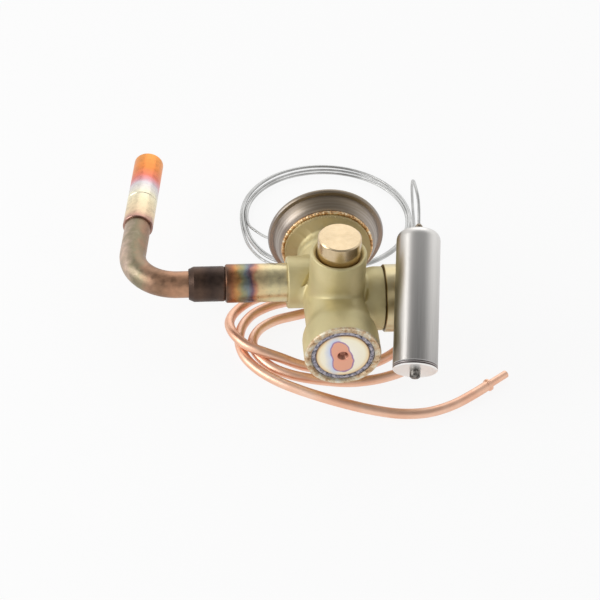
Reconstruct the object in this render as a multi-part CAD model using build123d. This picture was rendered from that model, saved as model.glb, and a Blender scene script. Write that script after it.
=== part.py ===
from build123d import *
from math import cos, pi, radians, sin, sqrt, tan
import os

os.makedirs("parts", exist_ok=True)

# Refrigerant expansion valve with an adjustable spring, a brazed power element, a sensing bulb on a
# capillary and an external equalizer tube.  Millimetres, +Z up.
#
# The pieces are drawn about the valve's own centre, where the barrel's axis (along Y) crosses the
# inlet's axis (along X).  +X is towards the outlet, +Y towards the power element, +Z towards the
# seal cap.  save() moves every piece so that the row's origin is the centre of the outlet's mouth.

# ---------------------------------------------------------------- fits
RUNNING = 0.06        # radial gap of a piece that turns or slides in its hole
BRAZED = 0.05         # radial gap of a tube in a brazed socket
APART = 0.3           # gap between moving pieces that don't guide each other
SEATED = 0.1          # gap between moving pieces that rest against each other

# ---------------------------------------------------------------- forged body
BARREL_R = 17.0
COLLAR_R = 17.55
COLLAR_LENGTH = 6.0
FRONT_Y = -52.0
NECK_R = 15.0
NECK_FRONT_Y = 14.5
FLANGE_R = 21.0
FLANGE_THICKNESS = 4.0
FLANGE_BACK_Y = 26.0
BLEND_R = 1.6         # fillet where the bosses leave the barrel
EDGE = 0.6            # chamfer on turned edges

CHAMBER_R = 13.0      # spring chamber, open to the outlet
CHAMBER_BACK_Y = -8.5
INLET_CHAMBER_R = 8.0
INLET_CHAMBER_LENGTH = 12.0
PORT_WALL = 3.0       # between the inlet chamber and the outlet port
WEB_THICKNESS = 5.5   # wall between the two chambers, which holds the seat

# ---------------------------------------------------------------- closing plug
PLUG_DISC_R = 12.3
PLUG_FLANGE_R = 14.5
PLUG_FLANGE_THICKNESS = 3.0
PLUG_SETBACK = 0.4    # plug's face behind the body's front face
PLUG_DEPTH = 7.0      # counterbore in the body's front
DIMPLE_R = 2.5
DIMPLE_DEPTH = 1.6
POST_WIDTH = 5.6      # square post that keeps the spring seat from turning
POST_LENGTH = 16.5

# ---------------------------------------------------------------- adjuster
SPINDLE_Y = -15.5
PINION_TEETH = 8
CROWN_TEETH = 24
TOOTH_MODULE = 0.825
TOOTH_ADDENDUM = 0.8       # in modules
TOOTH_DEDENDUM = 1.05      # in modules
CROWN_FACE = 3.2           # radial length of the crown's teeth
CROWN_BACKING = 3.6        # thickness of the ring behind the teeth
SLEEVE_R = 9.4
SLEEVE_BORE_R = 7.6
SEAT_THICKNESS = 4.5
SEAT_HUB_R = 4.3
SEAT_HUB_LENGTH = 1.2
SPINDLE_R = 3.0
SPINDLE_TOP_Z = 27.0
SLOT_WIDTH = 1.2
SLOT_DEPTH = 2.2

# ---------------------------------------------------------------- top boss, gland and seal cap
TOP_BOSS_R = 13.0
TOP_BOSS_Z = 31.0
CAP_R = 10.0
CAP_TOP_Z = 39.9
CAP_SHANK_R = 7.9
CAP_BORE_R = 5.2
CAP_ROOF = 5.0
CAP_SEAT_Z = 28.4
GASKET_THICKNESS = 0.8
CAP_BORE_BOTTOM_Z = 21.0
CAP_RECESS_GAP = 0.45
GLAND_R = 7.0
GLAND_HEIGHT = 4.6
GLAND_SEAT_Z = 16.0
SPINDLE_PORT_R = 4.4
O_RING_R = 0.9

# ---------------------------------------------------------------- valve stem
ROD_R = 1.95
CONE_R = 5.2
CONE_TIP_R = 3.4
CONE_LENGTH = 3.0
CONE_FLANGE_R = 6.0
CONE_FLANGE_THICKNESS = 1.6
CONE_SPIGOT_R = 3.4
CONE_SPIGOT_LENGTH = 3.5
ORIFICE_R = 4.2
ORIFICE_BODY_R = 6.5
ORIFICE_FLANGE_R = 8.0
ORIFICE_FLANGE_THICKNESS = 1.5
PACKING_R = 4.2
PACKING_LENGTH = 4.0
ROD_GLAND_R = 5.0
ROD_GLAND_LENGTH = 3.2

# ---------------------------------------------------------------- superheat spring
SPRING_MEAN_R = 5.2
SPRING_WIRE_R = 0.7
SPRING_TURNS = 5.5
SPRING_LENGTH = 20.0

# ---------------------------------------------------------------- power element
ELEMENT_R = 28.5
SHEET = 1.2
DISH_DEPTH = 8.0
DISH_SEAT_R = 21.0
DISH_HOLE_R = 14.2
RIM_WIDTH = 2.4
WELD_HEIGHT = 0.6
DIAPHRAGM_THICKNESS = 0.25
DOME_HEIGHT = 8.6
DOME_CROWN_R = 11.0
BUTTON_R = 4.0
BUTTON_HEIGHT = 2.0
THRUST_R = 17.0
THRUST_THICKNESS = 2.2
THRUST_HUB_R = 5.0
THRUST_HUB_LENGTH = 7.0
THRUST_POCKET_R = 13.5
THRUST_POCKET_DEPTH = 4.5
BEAD_R = 1.3          # golden braze bead around the flange
BEAD_OUTSIDE = 0.35   # share of the bead's radius that its middle stands out of the flange

# ---------------------------------------------------------------- inlet line
INLET_BOSS_R = 12.5
INLET_BOSS_X = -21.8
INLET_PORT_R = 7.0
STUB_R = 9.2
STUB_END_X = -51.0
STUB_SEAT = 6.0
STUB_SOCKET_DEPTH = 14.0
STUB_BORE_R = 6.9
REDUCER_SPIGOT_R = 7.94
REDUCER_R = 8.4
REDUCER_END_X = -68.3
REDUCER_BORE_R = 5.6
REDUCER_CUP_DEPTH = 12.0
LIQUID_TUBE_R = 6.35
LIQUID_TUBE_WALL = 0.8
ELBOW_BEND_R = 21.0
ELBOW_CORNER_X = -97.1
ELBOW_LEAN = 6.5      # degrees past square
COUPLING_R = 7.4
COUPLING_FROM_CORNER = 44.0
COUPLING_LENGTH = 51.8
COUPLING_CUP_DEPTH = 20.0
COUPLING_LINE = 19.0  # scribed line, from the coupling's near end
STRAINER_R = 5.0
STRAINER_TIP_R = 3.6
STRAINER_LENGTH = 18.0
STRAINER_WALL = 0.5
STRAINER_SLOTS = 8

# ---------------------------------------------------------------- outlet
OUTLET_Y = -13.0
OUTLET_NECK_R = 10.5
OUTLET_BOSS_R = 15.1
OUTLET_BOSS_X = 22.5
OUTLET_BOSS_LAND = 3.5
OUTLET_SWELL_R = 13.0
OUTLET_PORT_R = 9.5
OUTLET_TUBE_R = 14.29
OUTLET_SOCKET_R = 16.0
OUTLET_SOCKET_DEPTH = 19.0
OUTLET_SOCKET_FLOOR = 3.0
OUTLET_SPIGOT_LENGTH = 4.0
OUTLET_SPIGOT_WALL = 1.2

# ---------------------------------------------------------------- sensing bulb
BULB_R = 10.15
BULB_LENGTH = 67.2
BULB_WALL = 1.0
BULB_SHOULDER_R = 4.5
BULB_RISE = 28.2      # degrees, rear end higher
BULB_TURN = 6.7       # degrees towards +X
BULB_X = 35.6         # where the bulb lies across the outlet socket
BULB_FRONT_REACH = 44.7
BULB_CAP_THICKNESS = 2.4
BULB_RING_DEPTH = 0.25
BULB_RING_WIDTH = 0.5
NIB_R = 2.4
NIB_LENGTH = 3.4

# ---------------------------------------------------------------- capillary
CAPILLARY_R = 0.7
FERRULE_R = 1.7
FERRULE_LENGTH = 4.0
COIL_X = 6.9
COIL_Y = 84.9
COIL_R = 45.6
COIL_BAND = 8.0
COIL_HEIGHT = 4.2

# ---------------------------------------------------------------- equalizer tube
EQUALIZER_R = 2.38
EQUALIZER_Y = 10.2
EQUALIZER_SEAT = 3.0
EQUALIZER_ENTRY_BEND_R = 9.0
EQUALIZER_WALL = 0.76
EQUALIZER_CROSSING_GAP = 0.35
EQUALIZER_FILLET_GAP = 0.15
EQUALIZER_GALLERY_R = 1.25
EQUALIZER_GALLERY_Z = -10.6
EQUALIZER_BEAD_R = 2.95
EQUALIZER_NIB_R = 1.8
EQUALIZER_NIB_LENGTH = 12.0
EQUALIZER_NIB_BORE_R = 1.1

# ---------------------------------------------------------------- values that follow
FLOOR_Z = -ELEMENT_R
PLUG_SEAT_Y = FRONT_Y + PLUG_DEPTH
INLET_CHAMBER_FRONT_Y = CHAMBER_BACK_Y + WEB_THICKNESS
INLET_CHAMBER_BACK_Y = INLET_CHAMBER_FRONT_Y + INLET_CHAMBER_LENGTH
THRUST_POCKET_Y = FLANGE_BACK_Y - THRUST_POCKET_DEPTH
ROD_GLAND_Y = THRUST_POCKET_Y - ROD_GLAND_LENGTH
PACKING_Y = ROD_GLAND_Y - PACKING_LENGTH
ORIFICE_FACE_Y = CHAMBER_BACK_Y - ORIFICE_FLANGE_THICKNESS
CONE_TIP_Y = ORIFICE_FACE_Y + 1.2
CONE_FLANGE_Y = CONE_TIP_Y - CONE_LENGTH
SPRING_TOP_Y = CONE_FLANGE_Y - CONE_FLANGE_THICKNESS
SPRING_SEAT_Y = SPRING_TOP_Y - SPRING_LENGTH
PINION_R = TOOTH_MODULE * PINION_TEETH / 2
PINION_TIP_R = PINION_R + TOOTH_ADDENDUM * TOOTH_MODULE
PINION_ROOT_R = PINION_R - TOOTH_DEDENDUM * TOOTH_MODULE
CROWN_R = TOOTH_MODULE * CROWN_TEETH / 2
CROWN_TOP_Y = SPINDLE_Y - PINION_ROOT_R - APART
CROWN_ROOT_Y = SPINDLE_Y - PINION_TIP_R - APART
CROWN_BACK_Y = CROWN_ROOT_Y - CROWN_BACKING
CAP_HEAD_Z = CAP_SEAT_Z + GASKET_THICKNESS + SEATED
ELEMENT_SEAT_Y = FLANGE_BACK_Y
DIAPHRAGM_Y = ELEMENT_SEAT_Y + DISH_DEPTH
COVER_Y = DIAPHRAGM_Y + DIAPHRAGM_THICKNESS
COVER_TOP_Y = COVER_Y + DOME_HEIGHT
BUTTON_Y = COVER_TOP_Y + BUTTON_HEIGHT
THRUST_TOP_Y = DIAPHRAGM_Y - APART
THRUST_BACK_Y = THRUST_TOP_Y - THRUST_THICKNESS
ROD_END_Y = THRUST_BACK_Y - THRUST_HUB_LENGTH
OUTLET_MOUTH_X = OUTLET_BOSS_X + OUTLET_SOCKET_FLOOR + OUTLET_SOCKET_DEPTH
OUTLET_BORE_R = OUTLET_TUBE_R + RUNNING
EQUALIZER_Z = FLOOR_Z + EQUALIZER_R
ORIGIN = Vector(OUTLET_MOUTH_X, OUTLET_Y, 0)


# ---------------------------------------------------------------- helpers
def rod_x(radius, x_start, x_end, y=0, z=0):
    """Round bar along X."""
    return Pos((x_start + x_end) / 2, y, z) * Rot(0, 90, 0) * Cylinder(radius, abs(x_end - x_start))


def rod_y(radius, y_start, y_end, x=0, z=0):
    """Round bar along Y."""
    return Pos(x, (y_start + y_end) / 2, z) * Rot(90, 0, 0) * Cylinder(radius, abs(y_end - y_start))


def rod_z(radius, z_start, z_end, x=0, y=0):
    """Round bar along Z."""
    return Pos(x, y, (z_start + z_end) / 2) * Cylinder(radius, abs(z_end - z_start))


def turned_y(*points):
    """Piece turned about the barrel's axis, from its half section as (radius, y) points."""
    return revolve(make_face(Polyline(*points, close=True)), Axis.Y)


def turned_z(*points):
    """Piece turned about Z, from its half section as (radius, z) points."""
    return revolve(Plane.XZ * make_face(Polyline(*points, close=True)), Axis.Z)


def arc_radii(points):
    """Largest tangent arc at each corner: 0.45 of the shorter run over the tangent of half the turn."""
    radii = []
    for before, corner, after in zip(points, points[1:], points[2:]):
        run_in = corner - before
        run_out = after - corner
        half_turn = radians(run_in.get_angle(run_out)) / 2
        radii.append(0.45 * min(run_in.length, run_out.length) / tan(half_turn))
    return radii


def tube_along(name, points, radius, first_bend=None, wall=None):
    """Round bar or tube swept along straight runs joined by tangent arcs."""
    corners = [Vector(*point) for point in points]
    bends = arc_radii(corners)
    if first_bend:
        bends[0] = first_bend
    path = FilletPolyline(*corners, radius=bends)
    section = Plane(origin=path @ 0, z_dir=path % 0) * Circle(radius)
    bar = sweep(section, path=path)
    share = bar.volume / (pi * radius ** 2 * path.length)
    print(f"{name}: length {path.length:.1f}, tightest bend {min(bends):.1f}, volume share {share:.4f}")
    if wall:
        bore = Plane(origin=path @ 0, z_dir=path % 0) * Circle(radius - wall)
        bar -= sweep(bore, path=path)
    return bar


def save(node, shape):
    """Write one piece, moved so that the outlet's mouth is the origin."""
    export_step(Pos(-ORIGIN.X, -ORIGIN.Y, -ORIGIN.Z) * shape, f"parts/{node}.step")


# ---------------------------------------------------------------- forged body
def valve_body():
    """Brass forging: barrel and flange along Y, bosses for inlet, outlet and adjuster."""
    collar_end = FRONT_Y + COLLAR_LENGTH
    flange_front = FLANGE_BACK_Y - FLANGE_THICKNESS
    barrel = turned_y(
        (0, FRONT_Y),
        (COLLAR_R - EDGE, FRONT_Y),
        (COLLAR_R, FRONT_Y + EDGE),
        (COLLAR_R, collar_end),
        (BARREL_R, collar_end + 2 * EDGE),
        (BARREL_R, NECK_FRONT_Y),
        (NECK_R, NECK_FRONT_Y + BARREL_R - NECK_R),
        (NECK_R, flange_front),
        (FLANGE_R, flange_front),
        (FLANGE_R, FLANGE_BACK_Y),
        (0, FLANGE_BACK_Y),
    )
    inlet_boss = chamfer(
        rod_x(INLET_BOSS_R, INLET_BOSS_X, 0).edges().sort_by(Axis.X)[0], EDGE)
    top_boss = chamfer(
        rod_z(TOP_BOSS_R, 0, TOP_BOSS_Z, y=SPINDLE_Y).edges().sort_by(Axis.Z)[-1], EDGE)
    forging = barrel + inlet_boss + outlet_boss() + top_boss
    seams = [edge for edge in forging.edges() if edge.geom_type != GeomType.CIRCLE]
    seams = [edge for edge in seams if edge.geom_type != GeomType.LINE]
    forging = fillet(seams, BLEND_R)
    return forging - body_bores()


def outlet_boss():
    """Boss that swells from its neck in the barrel to a short land at its flat end."""
    land_x = OUTLET_BOSS_X - OUTLET_BOSS_LAND
    drop = OUTLET_BOSS_R - OUTLET_NECK_R
    neck_x = land_x - sqrt(OUTLET_SWELL_R ** 2 - (OUTLET_SWELL_R - drop) ** 2)
    outline = Polyline((land_x, OUTLET_BOSS_R), (OUTLET_BOSS_X - EDGE, OUTLET_BOSS_R))
    outline += Polyline(
        (OUTLET_BOSS_X - EDGE, OUTLET_BOSS_R),
        (OUTLET_BOSS_X, OUTLET_BOSS_R - EDGE),
        (OUTLET_BOSS_X, 0),
        (0, 0),
        (0, OUTLET_NECK_R),
        (neck_x, OUTLET_NECK_R),
    )
    outline += RadiusArc((neck_x, OUTLET_NECK_R), (land_x, OUTLET_BOSS_R), OUTLET_SWELL_R)
    return Pos(0, OUTLET_Y, 0) * revolve(make_face(outline), Axis.X)


def body_bores():
    """Everything drilled and bored in the forging."""
    return (
        rod_y(PLUG_FLANGE_R + BRAZED, FRONT_Y - 1, PLUG_SEAT_Y)
        + rod_y(CHAMBER_R, PLUG_SEAT_Y, CHAMBER_BACK_Y)
        + rod_y(ORIFICE_BODY_R + BRAZED, CHAMBER_BACK_Y, INLET_CHAMBER_FRONT_Y)
        + rod_y(INLET_CHAMBER_R, INLET_CHAMBER_FRONT_Y, INLET_CHAMBER_BACK_Y)
        + rod_y(ROD_R + RUNNING, INLET_CHAMBER_BACK_Y, PACKING_Y)
        + rod_y(PACKING_R, PACKING_Y, ROD_GLAND_Y)
        + rod_y(ROD_GLAND_R, ROD_GLAND_Y, THRUST_POCKET_Y)
        + rod_y(THRUST_POCKET_R, THRUST_POCKET_Y, FLANGE_BACK_Y)
        + rod_x(INLET_PORT_R, INLET_BOSS_X, 0)
        + rod_x(STUB_R + BRAZED, INLET_BOSS_X - 1, INLET_BOSS_X + STUB_SEAT)
        + rod_x(OUTLET_PORT_R, INLET_CHAMBER_R + PORT_WALL, OUTLET_BOSS_X + 1, y=OUTLET_Y)
        + outlet_counterbore()
        + adjuster_bores()
        + equalizer_gallery()
    )


def outlet_counterbore():
    """Seat in the outlet boss for the solder socket's spigot."""
    spigot_r = OUTLET_PORT_R + OUTLET_SPIGOT_WALL
    return rod_x(spigot_r + BRAZED, OUTLET_BOSS_X - OUTLET_SPIGOT_LENGTH, OUTLET_BOSS_X + 1, y=OUTLET_Y)


def adjuster_bores():
    """Stepped bore of the top boss: spindle port, gland seat, cap bore and chamfered recess."""
    recess_r = CAP_R + CAP_RECESS_GAP
    flare = turned_z(
        (0, CAP_SEAT_Z),
        (recess_r, CAP_SEAT_Z),
        (recess_r, TOP_BOSS_Z - 1.2),
        (recess_r + 1.3, TOP_BOSS_Z + 0.1),
        (0, TOP_BOSS_Z + 0.1),
    )
    return (
        rod_z(SPINDLE_PORT_R, 0, GLAND_SEAT_Z, y=SPINDLE_Y)
        + rod_z(GLAND_R, GLAND_SEAT_Z, CAP_BORE_BOTTOM_Z, y=SPINDLE_Y)
        + rod_z(CAP_SHANK_R + RUNNING, CAP_BORE_BOTTOM_Z, CAP_SEAT_Z, y=SPINDLE_Y)
        + Pos(0, SPINDLE_Y, 0) * flare
    )


def equalizer_gallery():
    """Drilling from the equalizer tube to the space under the diaphragm."""
    return (
        rod_z(EQUALIZER_R + BRAZED, -BARREL_R - 3, -BARREL_R + EQUALIZER_SEAT, y=EQUALIZER_Y)
        + rod_z(EQUALIZER_GALLERY_R, -BARREL_R, EQUALIZER_GALLERY_Z, y=EQUALIZER_Y)
        + rod_y(EQUALIZER_GALLERY_R, EQUALIZER_Y, THRUST_POCKET_Y, z=EQUALIZER_GALLERY_Z)
    )


# ---------------------------------------------------------------- closing plug
def bottom_plug():
    """Brazed plug that closes the spring chamber, with the spring seat's square post."""
    face_y = FRONT_Y + PLUG_SETBACK
    step_y = PLUG_SEAT_Y - PLUG_FLANGE_THICKNESS
    disc = turned_y(
        (0, face_y),
        (PLUG_DISC_R - EDGE / 2, face_y),
        (PLUG_DISC_R, face_y + EDGE / 2),
        (PLUG_DISC_R, step_y),
        (PLUG_FLANGE_R, step_y),
        (PLUG_FLANGE_R, PLUG_SEAT_Y),
        (0, PLUG_SEAT_Y),
    )
    dimple = turned_y(
        (0, face_y - 1), (DIMPLE_R, face_y - 1), (DIMPLE_R, face_y), (DIMPLE_R / 2, face_y + DIMPLE_DEPTH),
        (0, face_y + DIMPLE_DEPTH))
    post = Pos(0, PLUG_SEAT_Y + POST_LENGTH / 2, 0) * Box(POST_WIDTH, POST_LENGTH, POST_WIDTH)
    return disc - dimple + chamfer(post.faces().sort_by(Axis.Y)[-1].edges(), EDGE)


def plug_braze_ring():
    """Braze metal that fills the groove between the plug and the body's front rim."""
    back_y = PLUG_SEAT_Y - PLUG_FLANGE_THICKNESS
    front_y = FRONT_Y + 0.7
    inner = PLUG_DISC_R + BRAZED / 2
    outer = PLUG_FLANGE_R
    profile = Polyline((inner, front_y), (inner, back_y), (outer, back_y), (outer, front_y))
    crown = ThreePointArc((outer, front_y), ((inner + outer) / 2, front_y - 0.5), (inner, front_y))
    return revolve(make_face(profile + crown), Axis.Y)


# ---------------------------------------------------------------- adjuster
def pinion_tooth():
    """One pinion tooth as a flat outline pointing along -Y."""
    pitch_half = pi * TOOTH_MODULE / 4 * 0.8
    return make_face(Polyline(
        (-1.35 * pitch_half, 1 - PINION_ROOT_R),
        (-1.35 * pitch_half, -PINION_ROOT_R),
        (-pitch_half, -PINION_R),
        (-0.55 * pitch_half, -PINION_TIP_R),
        (0.55 * pitch_half, -PINION_TIP_R),
        (pitch_half, -PINION_R),
        (1.35 * pitch_half, -PINION_ROOT_R),
        (1.35 * pitch_half, 1 - PINION_ROOT_R),
        close=True))


def adjusting_spindle():
    """Slotted spindle with its pinion cut on the lower end."""
    pinion_low = CROWN_R - CROWN_FACE / 2
    pinion_high = CROWN_R + CROWN_FACE / 2
    outline = Circle(PINION_ROOT_R)
    for tooth in range(PINION_TEETH):
        outline += Rot(0, 0, tooth * 360 / PINION_TEETH) * pinion_tooth()
    pinion = Pos(0, 0, pinion_low) * extrude(outline, pinion_high - pinion_low)
    shoulder_r = SPINDLE_PORT_R - APART
    shaft = turned_z(
        (0, pinion_high),
        (shoulder_r, pinion_high),
        (shoulder_r, GLAND_SEAT_Z - APART),
        (SPINDLE_R, GLAND_SEAT_Z - APART),
        (SPINDLE_R, SPINDLE_TOP_Z - EDGE),
        (SPINDLE_R - EDGE, SPINDLE_TOP_Z),
        (0, SPINDLE_TOP_Z),
    )
    slot = Pos(0, 0, SPINDLE_TOP_Z) * Box(3 * SPINDLE_R, SLOT_WIDTH, 2 * SLOT_DEPTH)
    return Pos(0, SPINDLE_Y, 0) * (pinion + shaft - slot)


def crown_gap():
    """Space between two crown teeth, cut square to the ring's axis at the top of the ring."""
    half_top = pi * TOOTH_MODULE / 2 * 0.74
    half_root = half_top * 0.72
    outline = Polyline(
        (-half_top, CROWN_TOP_Y + 1),
        (-half_top, CROWN_TOP_Y),
        (-half_root, CROWN_ROOT_Y),
        (half_root, CROWN_ROOT_Y),
        (half_top, CROWN_TOP_Y),
        (half_top, CROWN_TOP_Y + 1),
        close=True)
    return Pos(0, 0, SLEEVE_BORE_R - 1) * extrude(make_face(outline), CHAMBER_R)


def gear_ring():
    """Crown gear with the internally threaded sleeve that carries the spring seat."""
    teeth_in = CROWN_R - CROWN_FACE / 2
    teeth_out = CROWN_R + CROWN_FACE / 2
    rim_r = CHAMBER_R - RUNNING
    sleeve_end = PLUG_SEAT_Y + SEATED
    blank = turned_y(
        (SLEEVE_BORE_R, sleeve_end),
        (SLEEVE_R, sleeve_end),
        (SLEEVE_R, CROWN_BACK_Y),
        (rim_r, CROWN_BACK_Y),
        (rim_r, CROWN_ROOT_Y),
        (teeth_out, CROWN_ROOT_Y),
        (teeth_out, CROWN_TOP_Y),
        (teeth_in, CROWN_TOP_Y),
        (teeth_in, CROWN_ROOT_Y),
        (SLEEVE_BORE_R, CROWN_ROOT_Y),
    )
    gaps = [Rot(0, gap * 360 / CROWN_TEETH, 0) * crown_gap() for gap in range(CROWN_TEETH)]
    return blank - gaps


def spring_seat():
    """Threaded nut that slides on the square post and loads the spring."""
    rim_r = SLEEVE_BORE_R - RUNNING
    disc = turned_y(
        (0, SPRING_SEAT_Y - SEAT_THICKNESS),
        (rim_r, SPRING_SEAT_Y - SEAT_THICKNESS),
        (rim_r, SPRING_SEAT_Y),
        (SEAT_HUB_R, SPRING_SEAT_Y),
        (SEAT_HUB_R, SPRING_SEAT_Y + SEAT_HUB_LENGTH),
        (0, SPRING_SEAT_Y + SEAT_HUB_LENGTH),
    )
    width = POST_WIDTH + 2 * RUNNING
    return disc - Pos(0, SPRING_SEAT_Y, 0) * Box(width, 4 * SEAT_THICKNESS, width)


def superheat_spring():
    """Coil spring between the cone and the spring seat, with ends ground flat."""
    pitch = (SPRING_LENGTH - 2 * SPRING_WIRE_R) / SPRING_TURNS
    height = pitch * SPRING_TURNS
    helix = Helix(pitch, height, SPRING_MEAN_R)
    wire = sweep(Plane(origin=helix @ 0, z_dir=helix % 0) * Circle(SPRING_WIRE_R), path=helix, is_frenet=True)
    return Pos(0, SPRING_TOP_Y - SPRING_WIRE_R, 0) * Rot(90, 0, 0) * wire


def spindle_gland():
    """Gland nut that guides the spindle, with a spanner slot and an O-ring groove."""
    top = GLAND_SEAT_Z + GLAND_HEIGHT
    middle = GLAND_SEAT_Z + GLAND_HEIGHT / 2
    inner = SPINDLE_R + RUNNING
    nut = turned_z(
        (inner, GLAND_SEAT_Z),
        (GLAND_R, GLAND_SEAT_Z),
        (GLAND_R, top - EDGE),
        (GLAND_R - EDGE, top),
        (inner, top),
        (inner, middle + O_RING_R),
        (inner + 2 * O_RING_R, middle + O_RING_R),
        (inner + 2 * O_RING_R, middle - O_RING_R),
        (inner, middle - O_RING_R),
    )
    slot = Pos(0, 0, top) * Box(3 * GLAND_R, 2 * SLOT_WIDTH, 2 * EDGE)
    return Pos(0, SPINDLE_Y, 0) * (nut - slot)


def spindle_o_ring():
    """Rubber ring in the gland's groove."""
    ring = Torus(SPINDLE_R + RUNNING + O_RING_R, O_RING_R)
    return Pos(0, SPINDLE_Y, GLAND_SEAT_Z + GLAND_HEIGHT / 2) * ring


# ---------------------------------------------------------------- seal cap
def seal_cap():
    """Turned brass cap with a hollow threaded shank."""
    shank_end = CAP_BORE_BOTTOM_Z + APART
    cap = turned_z(
        (CAP_BORE_R, shank_end),
        (CAP_SHANK_R - EDGE, shank_end),
        (CAP_SHANK_R, shank_end + EDGE),
        (CAP_SHANK_R, CAP_HEAD_Z),
        (CAP_R, CAP_HEAD_Z),
        (CAP_R, CAP_TOP_Z - EDGE),
        (CAP_R - EDGE, CAP_TOP_Z),
        (0, CAP_TOP_Z),
        (0, CAP_TOP_Z - CAP_ROOF),
        (CAP_BORE_R, CAP_TOP_Z - CAP_ROOF),
    )
    return Pos(0, SPINDLE_Y, 0) * cap


def cap_gasket():
    """Flat ring under the cap's head."""
    ring = turned_z(
        (CAP_SHANK_R + RUNNING, CAP_SEAT_Z),
        (CAP_R, CAP_SEAT_Z),
        (CAP_R, CAP_SEAT_Z + GASKET_THICKNESS),
        (CAP_SHANK_R + RUNNING, CAP_SEAT_Z + GASKET_THICKNESS),
    )
    return Pos(0, SPINDLE_Y, 0) * ring


# ---------------------------------------------------------------- valve stem
def push_rod():
    """Rod from the thrust plate through the orifice to the cone."""
    return rod_y(ROD_R, CONE_TIP_Y, ROD_END_Y)


def thrust_plate():
    """Stepped plate under the diaphragm, with a hub that takes the rod."""
    return turned_y(
        (0, ROD_END_Y),
        (THRUST_HUB_R, ROD_END_Y),
        (THRUST_HUB_R, THRUST_BACK_Y - EDGE),
        (THRUST_HUB_R + EDGE, THRUST_BACK_Y),
        (THRUST_R, THRUST_BACK_Y),
        (THRUST_R, THRUST_TOP_Y - EDGE),
        (THRUST_R - EDGE, THRUST_TOP_Y),
        (0, THRUST_TOP_Y),
    )


def valve_cone():
    """Cone that closes the orifice, with a flange and spigot for the spring."""
    spigot_end = SPRING_TOP_Y - CONE_SPIGOT_LENGTH
    return turned_y(
        (0, CONE_TIP_Y),
        (CONE_TIP_R, CONE_TIP_Y),
        (CONE_R, CONE_FLANGE_Y),
        (CONE_FLANGE_R, CONE_FLANGE_Y),
        (CONE_FLANGE_R, SPRING_TOP_Y),
        (CONE_SPIGOT_R, SPRING_TOP_Y),
        (CONE_SPIGOT_R, spigot_end + EDGE),
        (CONE_SPIGOT_R - EDGE, spigot_end),
        (0, spigot_end),
    )


def orifice_seat():
    """Hard seat screwed into the web between the chambers."""
    flare = (CONE_R - CONE_TIP_R) / CONE_LENGTH * (CONE_TIP_Y - ORIFICE_FACE_Y)
    mouth_r = CONE_TIP_R + flare + SEATED
    throat_r = min(ORIFICE_R, mouth_r)
    return turned_y(
        (throat_r, INLET_CHAMBER_FRONT_Y),
        (ORIFICE_BODY_R, INLET_CHAMBER_FRONT_Y),
        (ORIFICE_BODY_R, CHAMBER_BACK_Y),
        (ORIFICE_FLANGE_R, CHAMBER_BACK_Y),
        (ORIFICE_FLANGE_R, ORIFICE_FACE_Y),
        (mouth_r + 0.05, ORIFICE_FACE_Y),
        (throat_r, ORIFICE_FACE_Y + 1.0),
    )


def rod_packing():
    """Soft packing around the push rod."""
    return rod_y(PACKING_R, PACKING_Y, ROD_GLAND_Y) - rod_y(ROD_R + RUNNING, PACKING_Y, ROD_GLAND_Y)


def rod_gland():
    """Screwed bush that holds the packing."""
    bush = rod_y(ROD_GLAND_R, ROD_GLAND_Y, THRUST_POCKET_Y)
    bush -= rod_y(ROD_R + RUNNING, ROD_GLAND_Y, THRUST_POCKET_Y)
    return bush - Pos(0, THRUST_POCKET_Y, 0) * Box(3 * ROD_GLAND_R, 2 * EDGE, SLOT_WIDTH)


# ---------------------------------------------------------------- power element
def element_base():
    """Pressed steel dish brazed to the body's flange."""
    rim_in = ELEMENT_R - WELD_HEIGHT - RIM_WIDTH
    rim_out = ELEMENT_R - WELD_HEIGHT
    top = DIAPHRAGM_Y
    seat = ELEMENT_SEAT_Y
    outside = Polyline(
        (DISH_HOLE_R, seat + SHEET), (DISH_HOLE_R, seat), (DISH_SEAT_R, seat))
    outside += Spline(
        (DISH_SEAT_R, seat), (rim_in + 0.6, top - SHEET), tangents=[(1, 0.25), (0.35, 1)])
    outside += Polyline(
        (rim_in + 0.6, top - SHEET), (rim_out, top - SHEET), (rim_out, top), (rim_in - 0.6, top))
    inside = Spline(
        (rim_in - 0.6, top), (DISH_SEAT_R - 0.6, seat + SHEET), tangents=[(-0.35, -1), (-1, -0.25)])
    inside += Line((DISH_SEAT_R - 0.6, seat + SHEET), (DISH_HOLE_R, seat + SHEET))
    return revolve(make_face(outside + inside), Axis.Y)


def element_cover():
    """Domed steel cover with the button that takes the capillary."""
    rim_out = ELEMENT_R - WELD_HEIGHT
    rim_in = rim_out - RIM_WIDTH
    outside = Polyline(
        (rim_in, COVER_Y + SHEET), (rim_out, COVER_Y + SHEET), (rim_out, COVER_Y), (rim_in, COVER_Y))
    inside = Spline(
        (rim_in, COVER_Y), (DOME_CROWN_R, COVER_TOP_Y - SHEET), tangents=[(-0.3, 1), (-1, 0.1)])
    crown = Polyline(
        (DOME_CROWN_R, COVER_TOP_Y - SHEET), (CAPILLARY_R, COVER_TOP_Y - SHEET), (CAPILLARY_R, BUTTON_Y),
        (BUTTON_R, BUTTON_Y), (BUTTON_R, COVER_TOP_Y), (DOME_CROWN_R, COVER_TOP_Y))
    shoulder = Spline(
        (DOME_CROWN_R, COVER_TOP_Y), (rim_in, COVER_Y + SHEET), tangents=[(1, -0.1), (0.3, -1)])
    return revolve(make_face(outside + inside + crown + shoulder), Axis.Y)


def element_rim_weld():
    """Weld that joins dish, diaphragm and cover around the rim."""
    inner = ELEMENT_R - WELD_HEIGHT
    low = DIAPHRAGM_Y - SHEET
    high = COVER_Y + SHEET
    crown = ThreePointArc((inner, high), (ELEMENT_R, (low + high) / 2), (inner, low))
    return revolve(make_face(Line((inner, low), (inner, high)) + crown), Axis.Y)


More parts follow.
